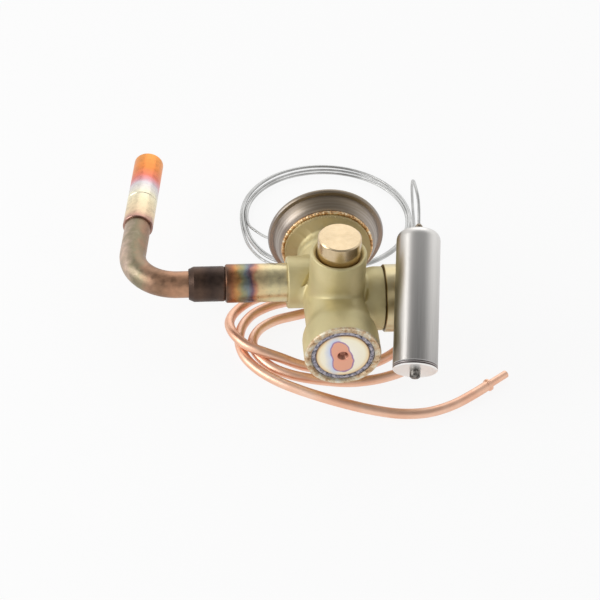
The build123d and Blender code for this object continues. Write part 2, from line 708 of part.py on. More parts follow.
def diaphragm():
    """Thin corrugated disc clamped between dish and cover."""
    outer = ELEMENT_R - WELD_HEIGHT
    wave = 0.25
    lower = [(0, DIAPHRAGM_Y)]
    for crest in (12.0, 16.0, 20.0):
        lower += [(crest - 1.5, DIAPHRAGM_Y), (crest, DIAPHRAGM_Y + wave), (crest + 1.5, DIAPHRAGM_Y)]
    lower += [(outer, DIAPHRAGM_Y)]
    upper = [(radius, y + DIAPHRAGM_THICKNESS) for radius, y in reversed(lower)]
    return turned_y(*lower, *upper)


def element_braze_ring():
    """Braze bead around the joint of flange and dish."""
    bead = Rot(90, 0, 0) * Torus(FLANGE_R + BEAD_R * BEAD_OUTSIDE, BEAD_R)
    flange = rod_y(FLANGE_R, ELEMENT_SEAT_Y - 3 * BEAD_R, ELEMENT_SEAT_Y)
    return Pos(0, ELEMENT_SEAT_Y - BEAD_R / 2, 0) * bead - flange - element_base()


def ferrule():
    """Short brazed sleeve around a capillary's end, standing on z = 0."""
    return turned_z(
        (CAPILLARY_R, 0),
        (FERRULE_R, 0),
        (FERRULE_R, FERRULE_LENGTH - 1),
        (CAPILLARY_R + 0.25, FERRULE_LENGTH),
        (CAPILLARY_R, FERRULE_LENGTH),
    )


# ---------------------------------------------------------------- inlet line
def inlet_stub():
    """Brass connection brazed into the inlet boss, with a cup for the reducer."""
    start = INLET_BOSS_X + STUB_SEAT
    body = rod_x(STUB_R, STUB_END_X, start)
    body = chamfer(body.edges().sort_by(Axis.X)[0], EDGE)
    cup = rod_x(REDUCER_SPIGOT_R + BRAZED, STUB_END_X, STUB_END_X + STUB_SOCKET_DEPTH)
    return body - cup - rod_x(STUB_BORE_R, STUB_END_X, start)


def inlet_strainer():
    """Slotted thimble that sits in the stub's bore against the reducer."""
    mouth_x = STUB_END_X + STUB_SOCKET_DEPTH
    tip_x = mouth_x + STRAINER_LENGTH
    outline = [
        (mouth_x, STUB_BORE_R - RUNNING),
        (mouth_x + 1, STUB_BORE_R - RUNNING),
        (mouth_x + 1, STRAINER_R),
        (tip_x, STRAINER_TIP_R),
        (tip_x, 0),
        (tip_x - STRAINER_WALL, 0),
        (tip_x - STRAINER_WALL, STRAINER_TIP_R - STRAINER_WALL),
        (mouth_x, STRAINER_R - STRAINER_WALL),
    ]
    thimble = revolve(make_face(Polyline(*outline, close=True)), Axis.X)
    slot = Pos(mouth_x + STRAINER_LENGTH / 2, 0, STRAINER_R) * Box(STRAINER_LENGTH * 0.6, 0.8, STRAINER_R)
    slots = [Rot(turn * 360 / STRAINER_SLOTS, 0, 0) * slot for turn in range(STRAINER_SLOTS)]
    return thimble - slots


def inlet_reducer():
    """Copper reducer: spigot in the stub's cup, sleeve around the elbow's tube."""
    spigot_end = STUB_END_X + STUB_SOCKET_DEPTH
    outline = [
        (spigot_end, REDUCER_BORE_R),
        (spigot_end, REDUCER_SPIGOT_R),
        (STUB_END_X, REDUCER_SPIGOT_R),
        (STUB_END_X - 1.0, REDUCER_R),
        (REDUCER_END_X + 2.5, REDUCER_R),
        (REDUCER_END_X, LIQUID_TUBE_R + 0.9),
        (REDUCER_END_X, LIQUID_TUBE_R + BRAZED),
        (REDUCER_END_X + REDUCER_CUP_DEPTH, LIQUID_TUBE_R + BRAZED),
        (REDUCER_END_X + REDUCER_CUP_DEPTH, REDUCER_BORE_R),
    ]
    return revolve(make_face(Polyline(*outline, close=True)), Axis.X)


def line_direction():
    """Direction of the elbow's free leg."""
    lean = radians(ELBOW_LEAN)
    return Vector(sin(lean), cos(lean), 0)


def inlet_elbow():
    """Copper tube bent a little past square."""
    start = Vector(REDUCER_END_X + REDUCER_CUP_DEPTH, 0, 0)
    corner = Vector(ELBOW_CORNER_X, 0, 0)
    end = corner + line_direction() * (COUPLING_FROM_CORNER + COUPLING_CUP_DEPTH - 4)
    path = FilletPolyline(start, corner, end, radius=ELBOW_BEND_R)
    plane = Plane(origin=path @ 0, z_dir=path % 0)
    ring = Circle(LIQUID_TUBE_R) - Circle(LIQUID_TUBE_R - LIQUID_TUBE_WALL)
    return sweep(plane * ring, path=path)


def coupling_plane():
    """Plane at the coupling's near end, with its normal along the tube."""
    corner = Vector(ELBOW_CORNER_X, 0, 0)
    return Plane(origin=corner + line_direction() * COUPLING_FROM_CORNER, z_dir=line_direction())


def inlet_end_coupling():
    """Straight solder coupling with a stop bead rolled in its middle."""
    bore = LIQUID_TUBE_R + BRAZED
    mouth = LIQUID_TUBE_R + RUNNING
    stop = COUPLING_CUP_DEPTH - 4
    far_stop = COUPLING_LENGTH - COUPLING_CUP_DEPTH
    inner = LIQUID_TUBE_R - LIQUID_TUBE_WALL
    tube = turned_z(
        (bore, 0),
        (COUPLING_R - 0.3, 0),
        (COUPLING_R, 0.3),
        (COUPLING_R, COUPLING_LINE - 0.25),
        (COUPLING_R - 0.2, COUPLING_LINE),
        (COUPLING_R, COUPLING_LINE + 0.25),
        (COUPLING_R, COUPLING_LENGTH - 0.3),
        (COUPLING_R - 0.3, COUPLING_LENGTH),
        (mouth, COUPLING_LENGTH),
        (mouth, far_stop),
        (inner, far_stop),
        (inner, stop),
        (bore, stop),
    )
    return coupling_plane() * tube


# ---------------------------------------------------------------- outlet
def outlet_socket():
    """Solder socket brazed to the outlet boss."""
    spigot_r = OUTLET_PORT_R + OUTLET_SPIGOT_WALL
    floor_x = OUTLET_BOSS_X + OUTLET_SOCKET_FLOOR
    outline = [
        (OUTLET_BOSS_X - OUTLET_SPIGOT_LENGTH, OUTLET_PORT_R),
        (OUTLET_BOSS_X - OUTLET_SPIGOT_LENGTH, spigot_r),
        (OUTLET_BOSS_X, spigot_r),
        (OUTLET_BOSS_X, OUTLET_SOCKET_R - EDGE),
        (OUTLET_BOSS_X + EDGE, OUTLET_SOCKET_R),
        (OUTLET_MOUTH_X - EDGE / 2, OUTLET_SOCKET_R),
        (OUTLET_MOUTH_X, OUTLET_SOCKET_R - EDGE / 2),
        (OUTLET_MOUTH_X, OUTLET_BORE_R),
        (floor_x, OUTLET_BORE_R),
        (floor_x, OUTLET_PORT_R),
    ]
    return Pos(0, OUTLET_Y, 0) * revolve(make_face(Polyline(*outline, close=True)), Axis.X)


# ---------------------------------------------------------------- sensing bulb
def bulb_direction():
    """Unit vector from the bulb's front end to its capillary end."""
    rise = radians(BULB_RISE)
    turn = radians(BULB_TURN)
    return Vector(sin(turn) * cos(rise), cos(turn) * cos(rise), sin(rise))


def bulb_plane():
    """Plane at the bulb's front end.  The bulb lies across the top of the outlet socket."""
    direction = bulb_direction()
    lift = Vector(1, 0, 0).cross(direction).normalized()
    over_socket = Vector(BULB_X, OUTLET_Y, 0) + lift * (OUTLET_SOCKET_R + BULB_R + BRAZED)
    return Plane(origin=over_socket - direction * BULB_FRONT_REACH, z_dir=direction)


def bulb_shell():
    """Drawn steel cup with a rounded shoulder around the capillary's hole."""
    inner_r = BULB_R - BULB_WALL
    inner_shoulder = BULB_SHOULDER_R - BULB_WALL
    roof = BULB_LENGTH - BULB_WALL
    hole = CAPILLARY_R
    outside = Polyline(
        (inner_r, BULB_CAP_THICKNESS), (BULB_R, BULB_CAP_THICKNESS), (BULB_R, BULB_LENGTH - BULB_SHOULDER_R))
    outside += RadiusArc(
        (BULB_R, BULB_LENGTH - BULB_SHOULDER_R), (BULB_R - BULB_SHOULDER_R, BULB_LENGTH), -BULB_SHOULDER_R)
    outside += Polyline(
        (BULB_R - BULB_SHOULDER_R, BULB_LENGTH),
        (hole, BULB_LENGTH),
        (hole, roof),
        (inner_r - inner_shoulder, roof),
    )
    outside += RadiusArc(
        (inner_r - inner_shoulder, roof), (inner_r, roof - inner_shoulder), inner_shoulder)
    outside += Line((inner_r, roof - inner_shoulder), (inner_r, BULB_CAP_THICKNESS))
    return bulb_plane() * revolve(Plane.XZ * make_face(outside), Axis.Z)


def bulb_end_cap():
    """Pressed disc welded into the bulb's front end, with two crimp lines."""
    line_1 = 1.1
    line_2 = 2.0
    half = BULB_RING_WIDTH / 2
    groove_r = BULB_R - BULB_RING_DEPTH
    inner_r = BULB_R - BULB_WALL
    cap = turned_z(
        (0, 0),
        (BULB_R - 0.5, 0),
        (BULB_R, 0.5),
        (BULB_R, line_1 - half),
        (groove_r, line_1),
        (BULB_R, line_1 + half),
        (BULB_R, line_2 - half),
        (groove_r, line_2),
        (BULB_R, BULB_CAP_THICKNESS),
        (inner_r, BULB_CAP_THICKNESS),
        (inner_r, BULB_CAP_THICKNESS + 2),
        (0, BULB_CAP_THICKNESS + 2),
    )
    return bulb_plane() * cap


def bulb_fill_nib():
    """Pinched-off filling tube on the bulb's front end."""
    nib = turned_z(
        (0, 0),
        (NIB_R, 0),
        (NIB_R, -NIB_LENGTH + EDGE),
        (NIB_R - EDGE, -NIB_LENGTH),
        (0, -NIB_LENGTH),
    )
    return bulb_plane() * nib


# ---------------------------------------------------------------- capillary
def capillary_lead():
    """Capillary from the power element down to its coil."""
    z = FLOOR_Z + CAPILLARY_R
    points = [
        (0, BUTTON_Y + FERRULE_LENGTH, 0),
        (0, BUTTON_Y + FERRULE_LENGTH + 9, -0.8),
        (-3, 63.5, -9.5),
        (-9, 65, -18.4),
        (-17.4, 64.4, z + 2),
        (-25.6, 66.4, z + 0.2),
        (-31.6, 72.4, z + 0.6),
    ]
    return tube_along("capillary_lead", points, CAPILLARY_R)


def capillary_coil():
    """Outer shape of the loose coil of about four turns."""
    inner = COIL_R - COIL_BAND
    top = FLOOR_Z + COIL_HEIGHT
    ring = turned_z(
        (inner, FLOOR_Z),
        (COIL_R, FLOOR_Z),
        (COIL_R, top - 1),
        (COIL_R - 1, top),
        (inner + 1, top),
        (inner, top - 1),
    )
    return Pos(COIL_X, COIL_Y, 0) * ring


def capillary_tail():
    """Capillary from the bulb, over in a loop and down to its coil."""
    plane = bulb_plane()
    direction = bulb_direction()
    start = plane.origin + direction * (BULB_LENGTH + FERRULE_LENGTH)
    second = start + direction * 11
    points = [
        tuple(start),
        tuple(second),
        (38.6, 19, 43),
        (39.6, 30, 37),
        (41.4, 40, 26.5),
        (43.8, 48.5, 13),
        (46.6, 55, -3),
        (49.4, 59.5, -17.5),
        (49.4, 68, -25.4),
    ]
    return tube_along("capillary_tail", points, CAPILLARY_R)


# ---------------------------------------------------------------- equalizer tube
def equalizer_points():
    """Corners of the equalizer's route: two loops on the floor, crossing over at the left."""
    low = EQUALIZER_Z
    over = EQUALIZER_Z + 2 * EQUALIZER_R + EQUALIZER_CROSSING_GAP
    return [
        (0, EQUALIZER_Y, -BARREL_R + EQUALIZER_SEAT),
        (0, EQUALIZER_Y, low),
        (-15.5, 5.3, low),
        (-26, 2.4, low),
        (-34.5, -3.6, low),
        (-39, -12.6, low),
        (-36.6, -22.4, low),
        (-30.2, -31.4, low),
        (-20.4, -37, low),
        (-7.6, -40.6, low),
        (6, -42.6, low),
        (19.6, -40.8, low),
        (31.6, -36.4, low),
        (42, -28.4, low),
        (48, -17, low),
        (48.6, -3.6, low),
        (43, 9, low),
        (32.6, 18.4, low),
        (19, 23.6, low),
        (4, 25.2, low),
        (-11, 25.0, low),
        (-26, 22.4, low),
        (-38.6, 16.4, low),
        (-46.6, 7.6, low + 0.2),
        (-49.4, -3, low + 3.2),
        (-47.4, -13, over),
        (-42.0, -20.8, over),
        (-34.2, -25.4, over),
        (-26.2, -27.4, low + 3.0),
        (-15.4, -30.8, low),
        (-3.4, -33.4, low),
        (9, -33, low),
        (20.4, -29.2, low),
        (30, -22.6, low),
        (36.6, -13, low),
        (37.6, -1.6, low),
        (32, 8.4, low),
        (22, 15, low),
        (9.6, 18, low),
        (-3.4, 18.4, low),
        (-16, 16.4, low),
        (-28, 13, low),
        (-37.6, 6.8, low),
        (-43.4, -2.6, low),
        (-45, -13.4, low),
        (-42.6, -24, low),
        (-36.4, -33, low),
        (-27.4, -41, low),
        (-15.6, -48, low),
        (-2, -54.6, low),
        (12, -60.2, low),
        (26, -64, low),
        (39.4, -64, low),
        (52, -59.4, low),
        (62.6, -52.6, low),
        (70.5, -46.8, low),
    ]


def equalizer_tube():
    """Soft copper tube with a rolled bead and a reduced nib on its free end."""
    points = equalizer_points()
    tube = tube_along("equalizer_tube", points, EQUALIZER_R, EQUALIZER_ENTRY_BEND_R, EQUALIZER_WALL)
    end = Vector(*points[-1])
    way = (end - Vector(*points[-2])).normalized()
    swaged = turned_z(
        (0, -2),
        (EQUALIZER_R - 0.1, -2),
        (EQUALIZER_R - 0.1, -1),
        (EQUALIZER_BEAD_R, -0.4),
        (EQUALIZER_BEAD_R, 0.6),
        (EQUALIZER_NIB_R, 1.2),
        (EQUALIZER_NIB_R, EQUALIZER_NIB_LENGTH),
        (0, EQUALIZER_NIB_LENGTH),
    )
    bore = rod_z(EQUALIZER_NIB_BORE_R, -3, EQUALIZER_NIB_LENGTH + 1)
    return tube + Plane(origin=end, z_dir=way) * (swaged - bore)


def equalizer_braze():
    """Braze fillet where the equalizer tube enters the body."""
    inner = EQUALIZER_R + EQUALIZER_FILLET_GAP
    collar = turned_z(
        (inner, 0),
        (inner + 1.6, 0),
        (inner + 1.2, -0.7),
        (inner + 0.3, -1.5),
        (inner, -1.6),
    )
    seat = -BARREL_R + 0.5
    return Pos(0, EQUALIZER_Y, seat) * collar - rod_y(BARREL_R, EQUALIZER_Y - 9, EQUALIZER_Y + 9)


# ---------------------------------------------------------------- write the pieces
save("valve_body", valve_body())
save("bottom_plug", bottom_plug())
save("plug_braze_ring", plug_braze_ring())
save("adjusting_spindle", adjusting_spindle())
save("gear_ring", gear_ring())
save("spring_seat", spring_seat())
save("superheat_spring", superheat_spring())
save("spindle_gland", spindle_gland())
save("spindle_o_ring", spindle_o_ring())
save("seal_cap", seal_cap())
save("cap_gasket", cap_gasket())
save("push_rod", push_rod())
save("thrust_plate", thrust_plate())
save("valve_cone", valve_cone())
save("orifice_seat", orifice_seat())
save("rod_packing", rod_packing())
save("rod_gland", rod_gland())
save("element_base", element_base())
save("element_cover", element_cover())
save("element_rim_weld", element_rim_weld())
save("element_braze_ring", element_braze_ring())
save("diaphragm", diaphragm())
save("element_ferrule", Plane(origin=(0, BUTTON_Y, 0), z_dir=(0, 1, 0)) * ferrule())
save("inlet_stub", inlet_stub())
save("inlet_strainer", inlet_strainer())
save("inlet_reducer", inlet_reducer())
save("inlet_elbow", inlet_elbow())
save("inlet_end_coupling", inlet_end_coupling())
save("outlet_socket", outlet_socket())
save("bulb_shell", bulb_shell())
save("bulb_end_cap", bulb_end_cap())
save("bulb_fill_nib", bulb_fill_nib())
save("bulb_ferrule", Plane(origin=bulb_plane().origin + bulb_direction() * BULB_LENGTH,
                           z_dir=bulb_direction()) * ferrule())
save("capillary_lead", capillary_lead())
save("capillary_coil", capillary_coil())
save("capillary_tail", capillary_tail())
save("equalizer_tube", equalizer_tube())
save("equalizer_braze", equalizer_braze())
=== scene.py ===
import bmesh
import bpy
import math
import random
from mathutils import Matrix, Vector


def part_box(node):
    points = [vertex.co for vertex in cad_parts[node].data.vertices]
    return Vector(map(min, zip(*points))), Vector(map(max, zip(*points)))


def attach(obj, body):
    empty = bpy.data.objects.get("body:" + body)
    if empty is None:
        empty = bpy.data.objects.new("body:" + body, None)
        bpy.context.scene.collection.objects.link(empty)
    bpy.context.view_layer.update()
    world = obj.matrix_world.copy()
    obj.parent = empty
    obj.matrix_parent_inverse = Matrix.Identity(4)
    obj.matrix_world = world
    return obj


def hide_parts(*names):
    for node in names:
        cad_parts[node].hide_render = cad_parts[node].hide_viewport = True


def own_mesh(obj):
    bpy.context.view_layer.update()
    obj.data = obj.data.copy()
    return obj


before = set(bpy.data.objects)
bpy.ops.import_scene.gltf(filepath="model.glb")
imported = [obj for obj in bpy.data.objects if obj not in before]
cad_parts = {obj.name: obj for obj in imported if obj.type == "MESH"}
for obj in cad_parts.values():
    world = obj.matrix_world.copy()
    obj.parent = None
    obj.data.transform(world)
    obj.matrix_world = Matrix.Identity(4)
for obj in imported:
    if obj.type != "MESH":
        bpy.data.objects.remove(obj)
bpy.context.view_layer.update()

# ---------------------------------------------------------------- camera
# The valve lies on a table. A long lens looks down on it from the plug's side, a little to the
# left of it and slightly rolled, as the valve leans on the table.
plug_low, plug_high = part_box("bottom_plug")
stub_low, stub_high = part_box("inlet_stub")
valve_x = (plug_low[0] + plug_high[0]) / 2
inlet_y = (stub_low[1] + stub_high[1]) / 2
valve_centre = Vector((valve_x, inlet_y, 0))

azimuth = math.radians(-6.518)
elevation = math.radians(41.442)
roll = math.radians(-2.967)
distance = 0.750
aim = valve_centre + Vector((-0.014935, 0, -0.011508))
back = Vector((
    math.sin(azimuth) * math.cos(elevation),
    -math.cos(azimuth) * math.cos(elevation),
    math.sin(elevation)))
level_right = Vector((math.cos(azimuth), math.sin(azimuth), 0))
level_up = back.cross(level_right)
right = level_right * math.cos(roll) - level_up * math.sin(roll)
up = level_right * math.sin(roll) + level_up * math.cos(roll)
axes = Matrix((right, up, back)).transposed().to_4x4()

lens_data = bpy.data.cameras.new("studio_camera")
lens_data.sensor_width = 36
lens_data.lens = 93.606
camera = bpy.data.objects.new("studio_camera", lens_data)
camera.matrix_world = Matrix.Translation(aim + back * distance) @ axes
bpy.context.collection.objects.link(camera)
bpy.context.scene.camera = camera

# ---------------------------------------------------------------- studio
# White table and white walls under a dark ceiling, which the tops of the metal pieces reflect,
# with one wide lamp low on the left and one behind the valve. The element's rim lies on the table.
bpy.context.scene.view_settings.view_transform = "Standard"
table_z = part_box("element_rim_weld")[0][2]


def add_lamp(name, place, size, watts):
    """Square area lamp aimed at the valve."""
    data = bpy.data.lights.new(name, "AREA")
    data.size = size
    data.energy = watts
    lamp = bpy.data.objects.new(name, data)
    lamp.location = place
    lamp.rotation_euler = (valve_centre - Vector(place)).to_track_quat("-Z", "Y").to_euler()
    bpy.context.collection.objects.link(lamp)


def vector_step(nodes, links, operation, vector, other=(0, 0, 0)):
    """One step of vector arithmetic. A dot product or a length gives a number."""
    step = nodes.new("ShaderNodeVectorMath")
    step.operation = operation
    step.inputs[1].default_value = tuple(other)
    links.new(vector, step.inputs[0])
    return step.outputs["Value" if operation in ("DOT_PRODUCT", "LENGTH") else "Vector"]


def times_plus(nodes, links, value, factor, added):
    """A number times a factor, plus a number or a socket."""
    step = nodes.new("ShaderNodeMath")
    step.operation = "MULTIPLY_ADD"
    step.inputs[1].default_value = factor
    links.new(value, step.inputs[0])
    if isinstance(added, bpy.types.NodeSocket):
        links.new(added, step.inputs[2])
    else:
        step.inputs[2].default_value = added
    return step.outputs[0]


def ramp_of(nodes, links, factor, stops):
    """Colour from a list of (position, colour) stops."""
    ramp = nodes.new("ShaderNodeValToRGB")
    elements = ramp.color_ramp.elements
    elements[0].position, elements[0].color = stops[0][0], (*stops[0][1], 1)
    elements[1].position, elements[1].color = stops[-1][0], (*stops[-1][1], 1)
    for position, colour in stops[1:-1]:
        elements.new(position).color = (*colour, 1)
    links.new(factor, ramp.inputs["Fac"])
    return ramp.outputs["Color"]


def blend_colours(nodes, links, factor, first, second, way="MIX"):
    """Two colours, or colour sockets, mixed or multiplied by a factor socket or number."""
    mix = nodes.new("ShaderNodeMix")
    mix.data_type = "RGBA"
    mix.blend_type = way
    for value, socket in ((factor, mix.inputs[0]), (first, mix.inputs[6]), (second, mix.inputs[7])):
        if isinstance(value, bpy.types.NodeSocket):
            links.new(value, socket)
        elif isinstance(value, tuple):
            socket.default_value = (*value, 1)
        else:
            socket.default_value = value
    return mix.outputs[2]


add_lamp("left_lamp", (-0.80, -0.10, 0.35), size=0.5, watts=2.5)
add_lamp("back_lamp", (0.10, 0.85, 0.55), size=0.8, watts=1.0)

white = (1.0, 1.0, 1.0)
ceiling_way = Vector((0.0, -0.35, 0.93)).normalized()
ceiling_greys = [(0.30, 1.0), (0.60, 0.72), (0.78, 0.38), (1.0, 0.26)]
world = bpy.data.worlds.new("studio")
bpy.context.scene.world = world
world.use_nodes = True
world_nodes, world_links = world.node_tree.nodes, world.node_tree.links
ray_way = world_nodes.new("ShaderNodeTexCoord").outputs["Generated"]
toward_ceiling = vector_step(world_nodes, world_links, "DOT_PRODUCT", ray_way, ceiling_way)
room_grey = ramp_of(world_nodes, world_links, toward_ceiling, [
    (height, (grey, grey, grey)) for height, grey in ceiling_greys])
seen_by_camera = world_nodes.new("ShaderNodeLightPath").outputs["Is Camera Ray"]
room = blend_colours(world_nodes, world_links, seen_by_camera, room_grey, white)
world_links.new(room, world_nodes["Background"].inputs["Color"])
world_nodes["Background"].inputs["Strength"].default_value = 1.0

bpy.ops.mesh.primitive_plane_add(size=6, location=(0, 0, table_z))
table_top = bpy.context.object
table_top.name = "table_top"
table_paint = bpy.data.materials.new("white_table")
table_paint.use_nodes = True
paint_nodes, paint_links = table_paint.node_tree.nodes, table_paint.node_tree.links
paint = paint_nodes["Principled BSDF"]
paint.inputs["Base Color"].default_value = (0.93, 0.93, 0.93, 1)
paint.inputs["Roughness"].default_value = 0.9
paint.inputs["Specular IOR Level"].default_value = 0.1
glow = paint_nodes.new("ShaderNodeEmission")
glow.inputs["Strength"].default_value = 1.0
glow_share = 0.70
more_glow_seen = 0.18  # added where the camera looks at the table itself
table_ray = paint_nodes.new("ShaderNodeLightPath").outputs["Is Camera Ray"]
table_glow = times_plus(paint_nodes, paint_links, table_ray, more_glow_seen, glow_share)
paint_and_glow = paint_nodes.new("ShaderNodeMixShader")
paint_links.new(table_glow, paint_and_glow.inputs[0])
paint_links.new(paint.outputs[0], paint_and_glow.inputs[1])
paint_links.new(glow.outputs[0], paint_and_glow.inputs[2])
paint_links.new(paint_and_glow.outputs[0], paint_nodes["Material Output"].inputs["Surface"])
table_top.data.materials.append(table_paint)

# ---------------------------------------------------------------- capillary
# One stainless tube, soldered into the power element at one end and into the bulb at the other.
# It leaves the element, lies in three and a half loose turns on the table and rises to the bulb.
capillary_d = 0.0014


def metal(name, colour, roughness):
    """Bare metal: the material, its nodes and links, and its shader."""
    material = bpy.data.materials.new(name)
    material.use_nodes = True
    nodes, links = material.node_tree.nodes, material.node_tree.links
    shader = nodes["Principled BSDF"]
    shader.inputs["Base Color"].default_value = (*colour, 1)
    shader.inputs["Metallic"].default_value = 1.0
    shader.inputs["Roughness"].default_value = roughness
    return material, nodes, links, shader


def surface_point(nodes):
    """The surface point in the row's frame at rest, in metres."""
    return nodes.new("ShaderNodeTexCoord").outputs["Object"]


def noise_at(nodes, links, point, scale, detail=3.0, roughness=0.5):
    """Noise from 0 to 1 at a point."""
    noise = nodes.new("ShaderNodeTexNoise")
    noise.inputs["Scale"].default_value = scale
    noise.inputs["Detail"].default_value = detail
    noise.inputs["Roughness"].default_value = roughness
    links.new(point, noise.inputs["Vector"])
    return noise.outputs["Fac"]


def spread(nodes, links, value, low, high, to_low=0.0, to_high=1.0):
    """A value moved from one range to another, clamped."""
    scaler = nodes.new("ShaderNodeMapRange")
    scaler.inputs["From Min"].default_value = low
    scaler.inputs["From Max"].default_value = high
    scaler.inputs["To Min"].default_value = to_low
    scaler.inputs["To Max"].default_value = to_high
    links.new(value, scaler.inputs["Value"])
    return scaler.outputs["Result"]


def eased(share):
    """A share held between 0 and 1, with a soft start and end."""
    share = min(max(share, 0), 1)
    return share * share * (3 - 2 * share)


def steel_wire():
    """Drawn stainless tube: bright, with faint dull stretches."""
    material, nodes, links, shader = metal("capillary_stainless", (0.45, 0.45, 0.44), 0.34)
    dull = noise_at(nodes, links, surface_point(nodes), 90, 4)
    colour = ramp_of(nodes, links, dull, [(0.30, (0.44, 0.44, 0.43)), (0.70, (0.66, 0.66, 0.65))])
    links.new(colour, shader.inputs["Base Color"])
    links.new(spread(nodes, links, dull, 0.3, 0.7, 0.30, 0.38), shader.inputs["Roughness"])
    return material


def in_valve(points):
    """Points given in millimetres about the valve's centre, in the row's frame."""
    return [valve_centre + Vector(point) / 1000 for point in points]


# The route is in millimetres about the valve's centre.
ferrule_end = (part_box("element_ferrule")[1][1] - inlet_y) * 1000
lying = (table_z + capillary_d / 2) * 1000

# Route from the element down to the table, inside the coil.
lead_points = [
    (0, ferrule_end, 0),
    (0, ferrule_end + 9, -0.8),
    (-3, 63.5, -9.5),
    (-9, 65, -18.4),
    (-17.4, 64.4, lying + 2),
    (-25.6, 66.4, lying + 0.2),
    (-31.6, 72.4, lying + 0.6),
]

# Loose turns, wound clockwise from the left, from the innermost to the outermost. Each row is one
# turn's left, right, far and near reach, its bulge at the near left, and its height on the others.
# The tube passes from each row to the next over one turn, and leaves halfway to the last.
turns = [
    (-36.2, 48.5, 120.9, 44.0, 0.00, 1.25),
    (-37.0, 50.0, 125.0, 41.5, 0.06, 0.05),
    (-38.1, 51.0, 127.3, 40.5, 0.10, 1.25),
    (-39.0, 51.6, 129.2, 39.9, 0.14, 0.05),
    (-39.0, 51.6, 129.2, 39.9, 0.14, 0.05),
]
steps_a_turn = 20
start_angle = 188
end_angle = -5 - 3 * 360
bulge_angle = 225
bulge_width = 22
coil_points = []
steps = int((start_angle - end_angle) / (360 / steps_a_turn)) + 1
for step in range(steps + 1):
    angle = start_angle - (start_angle - end_angle) * step / steps
    wound = (start_angle - angle) / 360
    turn = min(int(wound), len(turns) - 2)
    share = eased(wound - turn)
    left, right_end, far, near, bulge, lift = (
        before + (after - before) * share for before, after in zip(turns[turn], turns[turn + 1]))
    across = math.cos(math.radians(angle))
    along = math.sin(math.radians(angle))
    from_bulge = (angle - bulge_angle + 180) % 360 - 180
    swelling = 1 + bulge * math.exp(-(from_bulge / bulge_width) ** 2)
    coil_points.append((
        (left + right_end) / 2 + (right_end - left) / 2 * across * swelling,
        (far + near) / 2 + (far - near) / 2 * along * swelling,
        lying + lift))

# Route from the coil up to the bulb, in a narrow loop behind it.
tail_points = [
    (49.4, 68, -25.4),
    (49.4, 59.5, -17.5),
    (46.6, 55, -3),
    (43.8, 48.5, 13),
    (41.4, 40, 26.5),
    (39.6, 30, 37),
    (38.6, 19, 43),
]
bulb_yaw = math.radians(6.7)
bulb_rise = math.radians(28.2)
bulb_way = Vector((
    math.sin(bulb_yaw) * math.cos(bulb_rise),
    math.cos(bulb_yaw) * math.cos(bulb_rise),
    math.sin(bulb_rise)))
bulb_ferrule_low, bulb_ferrule_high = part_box("bulb_ferrule")
bulb_ferrule_centre = (Vector(bulb_ferrule_low) + Vector(bulb_ferrule_high)) / 2
half_ferrule = 0.0020
bulb_exit = (bulb_ferrule_centre + bulb_way * half_ferrule - valve_centre) * 1000
tail_points += [tuple(bulb_exit + bulb_way * 11), tuple(bulb_exit)]


def wire_through(name, points, diameter):
    """Round wire on a smooth line whose control points are given in the row's frame."""
    curve = bpy.data.curves.new(name, "CURVE")
    curve.dimensions = "3D"
    curve.bevel_depth = diameter / 2
    curve.bevel_resolution = 5
    curve.resolution_u = 6
    curve.use_fill_caps = True
    spline = curve.splines.new("NURBS")
    spline.points.add(len(points) - 1)
    for knot, point in zip(spline.points, points):
        knot.co = (*point, 1)
    spline.order_u = 3
    spline.use_endpoint_u = True
    piece = bpy.data.objects.new(name, curve)
    bpy.context.collection.objects.link(piece)
    return piece


capillary_points = in_valve(lead_points + coil_points + tail_points)
capillary = wire_through("capillary_tube", capillary_points, capillary_d)
capillary.data.materials.append(steel_wire())
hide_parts("capillary_lead", "capillary_coil", "capillary_tail")
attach(capillary, "valve")

# ---------------------------------------------------------------- forged body
# One hot-forged brass piece, bead-blasted to a dull olive cream. Its front rim was heated when
# the closing plug was brazed in, and is copper coloured with bright specks.
body_low, body_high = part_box("valve_body")
front_y = body_low[1]
flange_y = body_high[1] - 0.004


def part_along(nodes, links, vector, axis):
    """A vector's part along X, Y or Z."""
    split = nodes.new("ShaderNodeSeparateXYZ")
    links.new(vector, split.inputs[0])
    return split.outputs[axis]


def dent(nodes, links, shader, height, strength, depth=0.001):
    """Bump from a height socket."""
    bump = nodes.new("ShaderNodeBump")
    bump.inputs["Strength"].default_value = strength
    bump.inputs["Distance"].default_value = depth
    links.new(height, bump.inputs["Height"])
    links.new(bump.outputs["Normal"], shader.inputs["Normal"])


